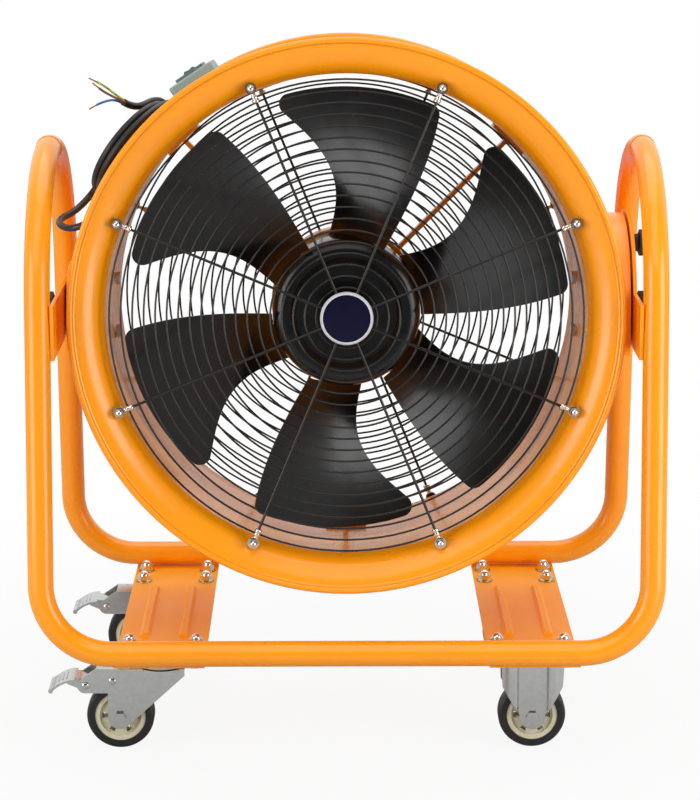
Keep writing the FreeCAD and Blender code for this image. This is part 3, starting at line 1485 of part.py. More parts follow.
def control_box_base():
    """Open box with a curved underside on the barrel, and screw posts in its corners."""
    wall = V.box_wall
    outside = box_block(V.drum_inner_radius - 10, V.box_top, V.box_width, V.box_length, V.box_corner)
    hollow = box_block(
        V.drum_inner_radius - 10, V.box_top, V.box_width - 2 * wall, V.box_length - 2 * wall, V.box_corner - wall)
    start = Vector(0, -V.drum_half, 0)
    barrel = Part.makeCylinder(V.drum_outer_radius + V.seat_gap, V.drum_length, start, Y_AXIS)
    floor = Part.makeCylinder(V.drum_outer_radius + wall, V.drum_length, start, Y_AXIS)
    base = outside.cut(barrel).cut(hollow.cut(floor))
    posts = []
    for y, z in box_screw_places():
        posts.append(Part.makeCylinder(
            2.2 * V.box_screw_radius, V.box_top - V.drum_outer_radius - wall,
            Vector(V.drum_outer_radius + wall, y, z), X_AXIS).cut(barrel))
    base = base.multiFuse([post.common(outside) for post in posts]).removeSplitter()
    for y, z in box_screw_places():
        base = base.cut(Part.makeCylinder(
            V.box_screw_radius + V.running_gap, 0.6 * V.box_rise, Vector(V.box_top, y, z), X_AXIS * -1))
    return largest(base)


def rocker_gap(low, high):
    """Opening for the rocker between two radii."""
    return Part.makeBox(
        high - low, V.rocker_length + 2 * V.moving_gap, 2 * V.rocker_radius + 2 * V.moving_gap, Vector(
            low, V.box_setback - V.rocker_length / 2 - V.moving_gap, -V.rocker_radius - V.moving_gap))


def control_box_lid():
    """Shallow lid with countersunk screw holes and an opening for the switch."""
    lid = box_block(V.box_top, V.lid_top, V.box_width, V.box_length, V.box_corner)
    top_edges = [
        e for e in lid.Edges if abs(e.BoundBox.XMin - V.lid_top) < 0.01 and abs(e.BoundBox.XMax - V.lid_top) < 0.01]
    lid = lid.makeFillet(V.box_wall, top_edges)
    wall = V.box_wall + 2 * V.box_screw_inset
    lid = lid.cut(box_block(
        V.box_top, V.lid_top - V.box_wall, V.box_width - wall, V.box_length - wall))
    for y, z in box_screw_places():
        lid = lid.cut(Part.makeCylinder(
            V.box_screw_radius + V.running_gap, V.lid_height, Vector(V.box_top, y, z), X_AXIS))
        lid = lid.cut(Part.makeCylinder(
            2 * V.box_screw_radius + V.bolt_gap, V.lid_height / 2, Vector(V.lid_top - V.lid_height / 2, y, z), X_AXIS))
    return lid.cut(rocker_gap(V.box_top, V.lid_top))


def box_screw(y, z):
    """Pan-head screw sunk in the lid."""
    seat = V.lid_top - V.lid_height / 2
    head = Part.makeCylinder(2 * V.box_screw_radius, 1.2 * V.box_screw_radius, Vector(seat, y, z), X_AXIS)
    shank = Part.makeCylinder(
        V.box_screw_radius, seat - V.box_top + 0.5 * V.box_rise, Vector(seat, y, z), X_AXIS * -1)
    return head.fuse(shank).removeSplitter()


def switch_plate():
    """Grey plate on the lid with the rocker's opening."""
    plate = box_block(V.lid_top, V.switch_top, V.switch_plate_width, V.switch_plate_length, V.box_wall)
    return plate.cut(rocker_gap(V.lid_top, V.switch_top))


def rocker_center():
    """Point of the rocker's axis at the middle of the box, on the +X side."""
    return Vector(V.lid_top, V.box_setback, 0)


def switch_rocker():
    """Rocker with a round underside and two sloping finger faces."""
    start = rocker_center() - Y_AXIS * V.rocker_length / 2
    rocker = Part.makeCylinder(V.rocker_radius, V.rocker_length, start, Y_AXIS)
    for side in (-1, 1):
        facet = Part.makeBox(
            V.rocker_radius, V.rocker_length, 2 * V.rocker_radius,
            start + Vector(V.rocker_radius * 0.62, 0, 0 if side > 0 else -2 * V.rocker_radius))
        facet.rotate(start + Vector(V.rocker_radius * 0.62, 0, 0), Y_AXIS, 12 * side)
        rocker = rocker.cut(facet)
    return rocker


def cable_gland():
    """Hexagonal gland body with a tapered boot, out of the box's lower side."""
    start = Vector(V.gland_radius_at, V.gland_setback, V.box_width / 2)
    nut = hexagon(V.gland_nut_radius, V.gland_nut_length, start, Z_AXIS)
    boot = Part.makeCone(
        V.gland_nut_radius * 0.75, V.gland_tip_radius, V.gland_boot_length,
        start + Z_AXIS * V.gland_nut_length, Z_AXIS)
    return nut.fuse(boot).removeSplitter()


capacitor_place = Vector(
    V.drum_outer_radius + V.box_wall + V.capacitor_radius + V.face_gap,
    V.box_setback - V.capacitor_length / 2, -V.box_width / 4 + V.box_wall)
capacitor = Part.makeCylinder(V.capacitor_radius, V.capacitor_length, capacitor_place, Y_AXIS)
for box_node, box_shape in (
    ("control_box_base", control_box_base()),
    ("control_box_lid", control_box_lid()),
    ("control_box_screws", Part.makeCompound([box_screw(y, z) for y, z in box_screw_places()])),
    ("switch_plate", switch_plate()),
    ("switch_rocker", switch_rocker()),
    ("run_capacitor", capacitor),
    ("cable_gland", cable_gland()),
):
    node(on_drum(solid(box_node, on_box(box_shape))), box_node)


# Power cable: a lead from the gland, a coil lying on the drum, and a stripped tail
coil_out = on_barrel(V.coil_angle, 1)
coil_down = Vector(-coil_out.z, 0, coil_out.x)
coil_slope = math.radians(V.coil_slope)
coil_front = coil_out * math.sin(coil_slope) - Y_AXIS * math.cos(coil_slope)
coil_up = coil_out * math.cos(coil_slope) + Y_AXIS * math.sin(coil_slope)
coil_middle = coil_out * V.coil_center_radius + Y_AXIS * V.coil_setback


def in_coil(down, front, up):
    """Point in the coil's own frame: down the drum's side, to the front, and off the drum."""
    return coil_middle + coil_down * down + coil_front * front + coil_up * up


def coil_ends():
    """Ends of the half turns: in along the lower layer, a climb, and out along the upper one."""
    inward = int(V.coil_half_turns_in)
    total = inward + 1 + int(V.coil_half_turns_out)
    for index in range(total + 1):
        steps = index if index <= inward else 2 * inward + 1 - index
        radius = V.coil_outer_radius - steps * V.coil_pitch / 2
        height = 0 if index <= inward else V.coil_layer_step
        yield (-radius if index % 2 == 0 else radius), height


def half_turn(start, end, way):
    """Half circle between two ends on the coil's front-to-back line, bulging up or down the drum."""
    bulge = math.hypot(end[0] - start[0], end[1] - start[1]) / 2
    middle = ((start[0] + end[0]) / 2, (start[1] + end[1]) / 2)
    return Part.Arc(
        in_coil(0, *start), in_coil(way * bulge, *middle), in_coil(0, *end)).toShape()


def pipe(edges, diameter):
    """Round tube along tangent edges, compared with its section times its length."""
    path = Part.Wire(edges)
    first = edges[0]
    start = first.valueAt(first.FirstParameter)
    ring = Part.Wire([Part.Circle(start, first.tangentAt(first.FirstParameter), diameter / 2).toShape()])
    tube = path.makePipeShell([ring], True, False)
    expected = math.pi * diameter ** 2 / 4 * path.Length
    assert abs(tube.Volume / expected - 1) < 0.01, (tube.Volume, expected)
    return tube, path.Length


def cord_edges(points):
    """Straight runs joined by tangent arcs, each as large as its shorter run allows; prints the radii."""
    edges, radii = [], []
    here = points[0]
    for index in range(1, len(points) - 1):
        corner = points[index]
        back = (points[index - 1] - corner)
        ahead = (points[index + 1] - corner)
        shorter = min(back.Length, ahead.Length)
        half = (math.pi - back.getAngle(ahead)) / 2
        radius = 0.45 * shorter / math.tan(half)
        radii.append(round(radius, 1))
        start = corner + Vector(back).normalize() * 0.45 * shorter
        end = corner + Vector(ahead).normalize() * 0.45 * shorter
        inward = (Vector(back).normalize() + Vector(ahead).normalize()).normalize()
        middle = corner + inward * (radius / math.cos(half) - radius)
        edges.append(Part.LineSegment(here, start).toShape())
        edges.append(Part.Arc(start, middle, end).toShape())
        here = end
    edges.append(Part.LineSegment(here, points[-1]).toShape())
    print("bend radii", radii)
    return edges


coil_stops = list(coil_ends())
coil_edges = [
    half_turn(coil_stops[i], coil_stops[i + 1], -1 if i % 2 == 0 else 1)
    for i in range(len(coil_stops) - 1)]
coil_tube, coil_length = pipe(coil_edges, V.cable_diameter)


def coil_gap():
    """Least gap of the coil to itself, on points along its centre line."""
    samples_per_edge = 24
    samples = []
    for edge in coil_edges:
        samples += edge.discretize(samples_per_edge + 1)[:-1]
    near = int(samples_per_edge * 0.8)
    least = min(
        samples[a].distanceToPoint(samples[b])
        for a in range(len(samples)) for b in range(a + near, len(samples)))
    return least - V.cable_diameter


gland_tip = box_turn.multVec(Vector(V.gland_radius_at, V.gland_setback, V.gland_end))
gland_way = box_turn.multVec(Z_AXIS)
coil_start = in_coil(0, coil_stops[0][0], 0)
lead_points = [
    gland_tip,
    gland_tip + gland_way * 38,
    Vector(-271, 72, 150),
    Vector(-305, 54, 104),
    Vector(-331, 8, 94),
    Vector(-306, -38, 86),
    Vector(-261, -29, 111),
    coil_start + coil_down * 30,
    coil_start,
]
coil_finish = in_coil(0, *coil_stops[-1])
tail_points = [
    coil_finish,
    in_coil(-27, coil_stops[-1][0], V.coil_layer_step + 0.5),
    in_coil(-56, -38, 14),
    in_coil(-58, 2, 19),
    in_coil(-36, 30, 20.5),
    in_coil(-36, 56, 28),
]
lead_tube, lead_length = pipe(cord_edges(lead_points), V.cable_diameter)
tail_tube, tail_length = pipe(cord_edges(tail_points), V.cable_diameter)
print("coil gap", round(coil_gap(), 2), "lengths", round(lead_length), round(coil_length), round(tail_length))

# Stripped cores: each leaves the sheath's end face beside the others and bends to the left
tail_end = tail_points[-1]
tail_way = (tail_points[-1] - tail_points[-2]).normalize()
core_side = tail_way.cross(Z_AXIS).normalize()
core_up = core_side.cross(tail_way).normalize()
CORE_TIPS = {
    "earth": (Vector(-260, -140, 252), Vector(-276, -143, 260)),
    "brown": (Vector(-260, -143, 245), Vector(-272, -146, 255)),
    "blue": (Vector(-262, -144, 234.5), Vector(-276, -146, 227)),
}
core_tubes = []
for core_index, (bend, tip) in enumerate(CORE_TIPS.values()):
    around = math.radians(90 + 120 * core_index)
    place = tail_end + (core_side * math.cos(around) + core_up * math.sin(around)) * V.core_diameter * 0.85
    core_tubes.append(pipe(cord_edges([place, place + tail_way * 14, bend, tip]), V.core_diameter)[0])
for cord_node, cord_shape in (
    ("power_cable_lead", lead_tube),
    ("power_cable_coil", coil_tube),
    ("power_cable_tail", tail_tube),
    ("power_cable_cores", Part.makeCompound(core_tubes)),
):
    node(on_drum(solid(cord_node, cord_shape)), cord_node)

doc.recompute()

# Every object has to be sound before anything is written
for item in doc.Objects:
    if {"Invalid", "Error"} & set(item.State):
        raise RuntimeError(f"{item.Label} failed: {item.State}")
for item in nodes:
    if item.Shape.isNull() or not item.Shape.isValid() or not item.Shape.Solids:
        raise RuntimeError(f"{item.Label} has no sound shape")

os.makedirs("parts", exist_ok=True)
for item in nodes:
    item.Shape.exportStep(f"parts/{item.Label}.step")
print(len(nodes), "nodes; pivot at", round(V.pivot_height, 2), "frame half width", round(V.frame_half_width, 2))
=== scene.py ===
"""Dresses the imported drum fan: finishes, cable, small hardware, studio and camera.

Metres. +X is to the right of someone facing the outlet, +Y points away from them and +Z is up.
"""
import logging
import math
from dataclasses import dataclass
from enum import Enum

import bpy
import numpy as np
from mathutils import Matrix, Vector


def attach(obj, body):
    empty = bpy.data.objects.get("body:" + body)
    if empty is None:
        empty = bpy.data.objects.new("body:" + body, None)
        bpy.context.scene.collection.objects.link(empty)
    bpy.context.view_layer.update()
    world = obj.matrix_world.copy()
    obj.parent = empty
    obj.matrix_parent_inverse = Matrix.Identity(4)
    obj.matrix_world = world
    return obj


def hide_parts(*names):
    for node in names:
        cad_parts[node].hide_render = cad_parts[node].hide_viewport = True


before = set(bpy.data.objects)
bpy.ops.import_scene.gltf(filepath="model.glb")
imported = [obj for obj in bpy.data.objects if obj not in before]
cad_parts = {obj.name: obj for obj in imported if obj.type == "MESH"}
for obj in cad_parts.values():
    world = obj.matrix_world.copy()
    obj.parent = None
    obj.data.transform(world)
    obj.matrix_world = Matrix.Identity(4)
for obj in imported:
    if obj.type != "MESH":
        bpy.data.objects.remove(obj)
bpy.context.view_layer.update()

logging.basicConfig(level=logging.INFO, format="%(message)s")
log = logging.getLogger("drum_fan")

MM = 0.001
PIVOT_HEIGHT = 472.906 * MM
DRUM_TILT = math.radians(4.0)
CASTER_X = 206 * MM
CASTER_Y = 151 * MM
FORK_OUTER = 17.5 * MM
CASTER_ENDS = (("front", -1), ("rear", 1))

# Noise values between which a pattern goes from nothing to full, and how fine its noise is
COLOUR_SPAN = (0.35, 0.65)
ROUGH_SPAN = (0.3, 0.7)
GRAIN_DETAIL = 4.0
GRAIN_ROUGHNESS = 0.6
RELIEF_DETAIL = 2.0
RELIEF_ROUGHNESS = 0.5
LEAST_ROUGHNESS = 0.02


def linear(hex_colour: str) -> tuple[float, float, float, float]:
    """Turns an sRGB hex colour into linear red, green, blue and alpha.

    Args:
        hex_colour: six hex digits, with or without a leading hash.

    Returns:
        The colour in linear light, with alpha 1.
    """
    digits = hex_colour.lstrip("#")
    channels = np.array([int(digits[i:i + 2], 16) for i in (0, 2, 4)]) / 255.0
    low = channels / 12.92
    high = ((channels + 0.055) / 1.055) ** 2.4
    made = np.where(channels <= 0.04045, low, high)
    return (float(made[0]), float(made[1]), float(made[2]), 1.0)


def add_node(
        tree: bpy.types.NodeTree, kind: str, settings: dict[str, object] | None = None,
        **inputs: object) -> bpy.types.Node:
    """Adds a shader node with its settings and links.

    Args:
        tree: the material's or world's node tree.
        kind: the node's type name.
        settings: attributes to set on the node.
        inputs: socket values, or output sockets to link, by socket name with _ for a space,
            or by i and the socket's number.

    Returns:
        The new node.
    """
    made = tree.nodes.new(kind)
    for name, value in (settings or {}).items():
        setattr(made, name, value)
    for name, value in inputs.items():
        key = int(name[1:]) if name[0] == "i" and name[1:].isdigit() else name.replace("_", " ")
        if isinstance(value, bpy.types.NodeSocket):
            tree.links.new(value, made.inputs[key])
        else:
            made.inputs[key].default_value = value
    return made


@dataclass(frozen=True)
class Finish:
    """A surface finish: what it is made of and how it was made.

    Attributes:
        name: the material's common name and process.
        colour: main sRGB hex colour.
        shade: second sRGB hex colour that the pattern mixes in.
        metallic: 1 for bare metal.
        roughness: middle roughness.
        roughness_spread: how far the pattern moves the roughness.
        coat: clear coat weight.
        coat_roughness: roughness of the clear coat.
        grain_mm: size of the pattern's grain in millimetres.
        grain_stretch: stretch of the grain along X, Y and Z.
        mix: how much of the second colour shows.
        bump_mm: depth of the surface relief in millimetres.
        relief_mm: size of the surface relief in millimetres.
        ior: index of refraction of a non-metal.
    """

    name: str
    colour: str
    shade: str
    metallic: float = 0.0
    roughness: float = 0.4
    roughness_spread: float = 0.06
    coat: float = 0.0
    coat_roughness: float = 0.05
    grain_mm: float = 40.0
    grain_stretch: tuple[float, float, float] = (1.0, 1.0, 1.0)
    mix: float = 0.25
    bump_mm: float = 0.02
    relief_mm: float = 3.0
    ior: float = 1.5

    def material(self) -> bpy.types.Material:
        """Builds the finish as a node material, once.

        Returns:
            The material: one noise moves its colour and roughness, and a finer one its relief.
        """
        found = bpy.data.materials.get(self.name)
        if found:
            return found
        made = bpy.data.materials.new(self.name)
        made.use_nodes = True
        tree = made.node_tree
        tree.nodes.clear()
        place = add_node(tree, "ShaderNodeTexCoord").outputs["Object"]
        stretched = add_node(
            tree, "ShaderNodeMapping", Vector=place,
            Scale=tuple(1.0 / (self.grain_mm * MM) * s for s in self.grain_stretch)).outputs["Vector"]
        grain = add_node(
            tree, "ShaderNodeTexNoise", Vector=stretched, Scale=1.0, Detail=GRAIN_DETAIL,
            Roughness=GRAIN_ROUGHNESS).outputs["Fac"]
        spread = add_node(
            tree, "ShaderNodeMapRange", Value=grain, From_Min=COLOUR_SPAN[0], From_Max=COLOUR_SPAN[1],
            To_Min=0.0, To_Max=self.mix).outputs["Result"]
        colour = add_node(
            tree, "ShaderNodeMix", {"data_type": "RGBA"}, i0=spread, i6=linear(self.colour),
            i7=linear(self.shade))
        rough = add_node(
            tree, "ShaderNodeMapRange", Value=grain, From_Min=ROUGH_SPAN[0], From_Max=ROUGH_SPAN[1],
            To_Min=max(self.roughness - self.roughness_spread, LEAST_ROUGHNESS),
            To_Max=self.roughness + self.roughness_spread).outputs["Result"]
        relief = add_node(
            tree, "ShaderNodeTexNoise", Vector=place, Scale=1.0 / (self.relief_mm * MM),
            Detail=RELIEF_DETAIL, Roughness=RELIEF_ROUGHNESS).outputs["Fac"]
        bump = add_node(
            tree, "ShaderNodeBump", Height=relief, Strength=1.0,
            Distance=self.bump_mm * MM).outputs["Normal"]
        shader = add_node(
            tree, "ShaderNodeBsdfPrincipled", Base_Color=colour.outputs[2], Metallic=self.metallic,
            Roughness=rough, IOR=self.ior, Normal=bump, Coat_Weight=self.coat,
            Coat_Roughness=self.coat_roughness)
        add_node(tree, "ShaderNodeOutputMaterial", Surface=shader.outputs["BSDF"])
        return made


class Finishes(Enum):
    """Every finish on the fan."""

    # Stoved enamel on sheet steel: wet gloss with a faint orange peel
    ORANGE = Finish(
        "orange stoved enamel", "#FF9E0C", "#FB950A", roughness=0.27, roughness_spread=0.05, coat=0.12,
        coat_roughness=0.06, grain_mm=120, mix=0.45, bump_mm=0.008, relief_mm=2.2)
    # The same enamel stoved thinner on the base plates: satin, with softer reflections; its colour is paler
    # and yellower than the frame's enamel, painted light that brightens the plates
    PLATE = Finish(
        "orange satin enamel", "#FFA911", "#FB9F0F", roughness=0.48, roughness_spread=0.05, grain_mm=120,
        mix=0.45, bump_mm=0.008, relief_mm=2.2, ior=1.42)
    # Black powder coat on drawn wire
    WIRE = Finish(
        "black powder coat", "#0F0F0E", "#191817", roughness=0.24, coat=0.1, grain_mm=20, mix=0.5,
        bump_mm=0.01, relief_mm=0.8)
    # Black gloss enamel on pressed steel blades
    BLADE = Finish(
        "black stoved enamel", "#0A0A0A", "#101010", roughness=0.22, roughness_spread=0.04, grain_mm=60,
        mix=0.5, bump_mm=0.006, relief_mm=1.6)
    # Zinc plate, passivated: pale grey with soft cloudy spangle
    ZINC = Finish(
        "zinc plated steel", "#CACECD", "#BCC1C0", metallic=1.0, roughness=0.21, roughness_spread=0.04,
        grain_mm=6, mix=0.6, bump_mm=0.012, relief_mm=0.9)
    # Yellow chromate passivation on washers
    CHROMATE = Finish(
        "yellow chromated steel", "#C9A45C", "#9C8B5E", metallic=1.0, roughness=0.3, grain_mm=5, mix=0.8,
        bump_mm=0.005, relief_mm=0.8)
    # Bright nickel chrome
    CHROME = Finish(
        "bright chrome plate", "#E4E2DE", "#D3CFC9", metallic=1.0, roughness=0.09, roughness_spread=0.03,
        grain_mm=8, mix=0.5, bump_mm=0.003, relief_mm=1.5)
    # Navy glass enamel on the badge's face
    NAVY = Finish(
        "navy glass enamel", "#0B0A26", "#0F0D30", roughness=0.2, roughness_spread=0.03,
        grain_mm=10, mix=0.5, bump_mm=0.004, relief_mm=1.5, ior=1.36)
    # Pressed bright rim: its pale grey is a painted sheen that stands in for bright metal's reflections, so
    # it is pale in any light
    RIM = Finish(
        "pressed rim with painted sheen", "#DCDCE0", "#CECED4", metallic=0.2, roughness=0.34, grain_mm=6,
        mix=0.5, bump_mm=0.004, relief_mm=1.2)
    # Die-cast motor body under dark satin paint
    MOTOR = Finish(
        "dark satin paint on castings", "#26272A", "#313337", roughness=0.42, grain_mm=14, mix=0.5,
        bump_mm=0.05, relief_mm=1.2)
    # Stacked silicon steel laminations
    LAMINATION = Finish(
        "laminated silicon steel", "#6B6863", "#55514C", metallic=1.0, roughness=0.45, grain_mm=3,
        grain_stretch=(0.1, 4.0, 0.1), mix=0.8, bump_mm=0.02, relief_mm=0.6)
    # Moulded polycarbonate, fine spark-eroded texture
    BOX = Finish(
        "grey moulded polycarbonate", "#92A8A5", "#889E9B", roughness=0.46, grain_mm=30, mix=0.5,
        bump_mm=0.03, relief_mm=0.7)
    # Moulded nylon of the switch and the capacitor's case
    SWITCH = Finish(
        "dark grey moulded nylon", "#6E7B7C", "#626E70", roughness=0.4, grain_mm=18, mix=0.5, bump_mm=0.02,
        relief_mm=0.7)
    # Glass-filled nylon knobs with a dull skin
    KNOB = Finish(
        "black glass filled nylon", "#1A1A1A", "#262626", roughness=0.48, grain_mm=9, mix=0.6, bump_mm=0.04,
        relief_mm=0.8)
    # Moulded polypropylene wheel centre
    CREAM = Finish(
        "cream moulded polypropylene", "#D6D0B6", "#C4BC9E", roughness=0.42, grain_mm=16, mix=0.6,
        bump_mm=0.03, relief_mm=1.1)
    # Polyurethane tread with a little road dust
    TYRE = Finish(
        "black polyurethane tread", "#141312", "#211F1C", roughness=0.5, roughness_spread=0.1, grain_mm=12,
        mix=0.6, bump_mm=0.05, relief_mm=0.9)
    # Rubber sheathed flexible cable
    CABLE = Finish(
        "rubber cable sheath", "#1D1917", "#2C2622", roughness=0.42, roughness_spread=0.08, grain_mm=14,
        mix=0.6, bump_mm=0.04, relief_mm=1.0)
    # Vinyl insulation of the three cores
    BROWN_CORE = Finish(
        "brown vinyl insulation", "#6B3A1C", "#5A2F16", roughness=0.35, grain_mm=6, mix=0.5, bump_mm=0.01,
        relief_mm=0.8)
    BLUE_CORE = Finish(
        "blue vinyl insulation", "#2D5FA8", "#274F90", roughness=0.35, grain_mm=6, mix=0.5, bump_mm=0.01,
        relief_mm=0.8)
    EARTH_CORE = Finish(
        "green and yellow vinyl insulation", "#D8C629", "#3F8F35", roughness=0.35, grain_mm=5,
        grain_stretch=(1.0, 1.0, 2.0), mix=1.0, bump_mm=0.01, relief_mm=0.8)
    # Bare stranded copper
    COPPER = Finish(
        "bare copper strands", "#C98A52", "#A8673A", metallic=1.0, roughness=0.32, grain_mm=1.5, mix=0.8,
        bump_mm=0.02, relief_mm=0.4)


# Finishes by a part of the node's name: the first that fits holds
NODE_FINISHES: dict[str, Finishes] = {
    "cap_nuts": Finishes.CHROME,
    "studs": Finishes.ZINC,
    "bracket_bolts": Finishes.ZINC,
    "mount_bolts": Finishes.ZINC,
    "caster_bolts": Finishes.ZINC,
    "screws": Finishes.ZINC,
    "grille": Finishes.WIRE,
    "fan_": Finishes.BLADE,
    "hub_nut": Finishes.ZINC,
    "rotor": Finishes.ZINC,
    "base_plate": Finishes.PLATE,
    "fork": Finishes.ZINC,
    "axles": Finishes.ZINC,
    "swivel": Finishes.ZINC,
    "pedal": Finishes.ZINC,
    "badge": Finishes.RIM,
    "washers": Finishes.KNOB,
    "motor_mount": Finishes.ORANGE,
    "motor_bearings": Finishes.CHROME,
    "motor_stator": Finishes.LAMINATION,
    "motor": Finishes.MOTOR,
    "control_box": Finishes.BOX,
    "switch": Finishes.SWITCH,
    "capacitor": Finishes.SWITCH,
    "gland": Finishes.KNOB,
    "cable": Finishes.CABLE,
    "knob": Finishes.KNOB,
    "wheel_core": Finishes.CREAM,
    "tyre": Finishes.TYRE,
}


def finish_of(node: str) -> Finishes:
    """Finds a CAD node's finish by its name; what the table doesn't name is orange.

    Args:
        node: name of the CAD node.

    Returns:
        The finish.
    """
    for part, finish in NODE_FINISHES.items():
        if part in node:
            return finish
    return Finishes.ORANGE


def on_drum(points: np.ndarray) -> np.ndarray:
    """Moves points of the level drum, in metres about its centre, to the tilted drum.

    Args:
        points: array whose last axis is X, Y and Z.

    Returns:
        The same points turned about X by the tilt, front up, and lifted to the pivot.
    """
    x, y, z = np.moveaxis(np.asarray(points, dtype=float), -1, 0)
    cos, sin = math.cos(DRUM_TILT), math.sin(DRUM_TILT)
    return np.stack([x, y * cos + z * sin, PIVOT_HEIGHT - y * sin + z * cos], axis=-1)


def grid_mesh(name: str, points: np.ndarray, wraps: tuple[bool, bool], smooth: bool) -> bpy.types.Mesh:
    """Makes a quad mesh from a grid of points.

    Args:
        name: name of the mesh.
        points: array of shape (copies, rows, columns, 3).
        wraps: whether the last row joins the first, and the last column the first.
        smooth: shades the faces smooth.

    Returns:
        The mesh, with its faces facing as columns cross rows.
    """
    copies, rows, columns = points.shape[:3]
    row = np.arange(rows if wraps[0] else rows - 1)
    column = np.arange(columns if wraps[1] else columns - 1)
    c, r, k = np.meshgrid(np.arange(copies), row, column, indexing="ij")
    after_row = (r + 1) % rows
    after_column = (k + 1) % columns
    base = c * rows * columns
    faces = np.stack([
        base + r * columns + k,
        base + r * columns + after_column,
        base + after_row * columns + after_column,
        base + after_row * columns + k], axis=-1).reshape(-1, 4)
    mesh = bpy.data.meshes.new(name)
    mesh.from_pydata(points.reshape(-1, 3).tolist(), [], faces.tolist())
    mesh.validate()
    mesh.polygons.foreach_set("use_smooth", np.full(len(mesh.polygons), smooth))
    return mesh


def place_grid(
        name: str, points: np.ndarray, wraps: tuple[bool, bool], finish: Finishes, body: str,
        smooth: bool = True) -> bpy.types.Object:
    """Puts a finished grid of points in the scene on one of the part's bodies.

    Args:
        name: name of the piece and its mesh.
        points: array of shape (copies, rows, columns, 3), in metres and in place.
        wraps: whether the last row joins the first, and the last column the first.
        finish: its finish.
        body: the CAD body it moves with.
        smooth: shades the faces smooth.

    Returns:
        The new object.
    """
    mesh = grid_mesh(name, points, wraps, smooth)
    made = bpy.data.objects.new(name, mesh)
    bpy.context.scene.collection.objects.link(made)
    mesh.materials.append(finish.value.material())
    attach(made, body)
    log.info("piece %s on %s: %d faces", name, body, len(mesh.polygons))
    return made


def revolve(profile: np.ndarray, segments: int) -> np.ndarray:
    """Turns a profile of (radius, height) about the local Z axis.

    Args:
        profile: array of shape (n, 2), going up the outside so that faces point out.
        segments: steps round the axis.

    Returns:
        Grid of shape (n, segments, 3).
    """
    angle = np.linspace(0, 2 * math.pi, segments, endpoint=False)
    radius, height = profile[:, :1], profile[:, 1:]
    level = np.broadcast_to(height, (len(profile), segments))
    return np.stack([radius * np.cos(angle), radius * np.sin(angle), level], axis=-1)


def turn_to(points: np.ndarray, axis: Vector, base: np.ndarray) -> np.ndarray:
    """Stands a grid drawn about local Z on an axis at a base point."""
    turn = np.array(Vector((0, 0, 1)).rotation_difference(axis).to_matrix())
    return points @ turn.T + base


def smooth_step(values: np.ndarray, start: float, length: float) -> np.ndarray:
    """Rises from 0 to 1 as 3t^2 - 2t^3, with t going from 0 to 1 along a length.

    Args:
        values: distances.
        start: distance at which the rise starts.
        length: length of the rise.

    Returns:
        Shares from 0 to 1, of the same shape.
    """
    t = np.clip((values - start) / length, 0, 1)
    return t * t * (3 - 2 * t)


@dataclass
class CadDress:
    """Finishes and smooth shading on the CAD nodes that show."""

    split_angle: float = math.radians(32)
    merge_mm: float = 0.002

    def smooth(self, obj: bpy.types.Object) -> None:
        """Shades a node smooth, with its sharp edges kept by angle.

        Args:
            obj: the node's object.
        """
        mesh = obj.data
        mesh.polygons.foreach_set("use_smooth", np.ones(len(mesh.polygons), dtype=bool))
        weld = obj.modifiers.new("merge", "WELD")
        weld.merge_threshold = self.merge_mm * MM
        split = obj.modifiers.new("edges", "EDGE_SPLIT")
        split.split_angle = self.split_angle
        split.use_edge_sharp = False

    def dress(self) -> None:
        """Gives every node its finish."""
        for name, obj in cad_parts.items():
            obj.data.materials.clear()
            obj.data.materials.append(finish_of(name).value.material())
            self.smooth(obj)
        log.info("dressed %d CAD nodes", len(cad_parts))


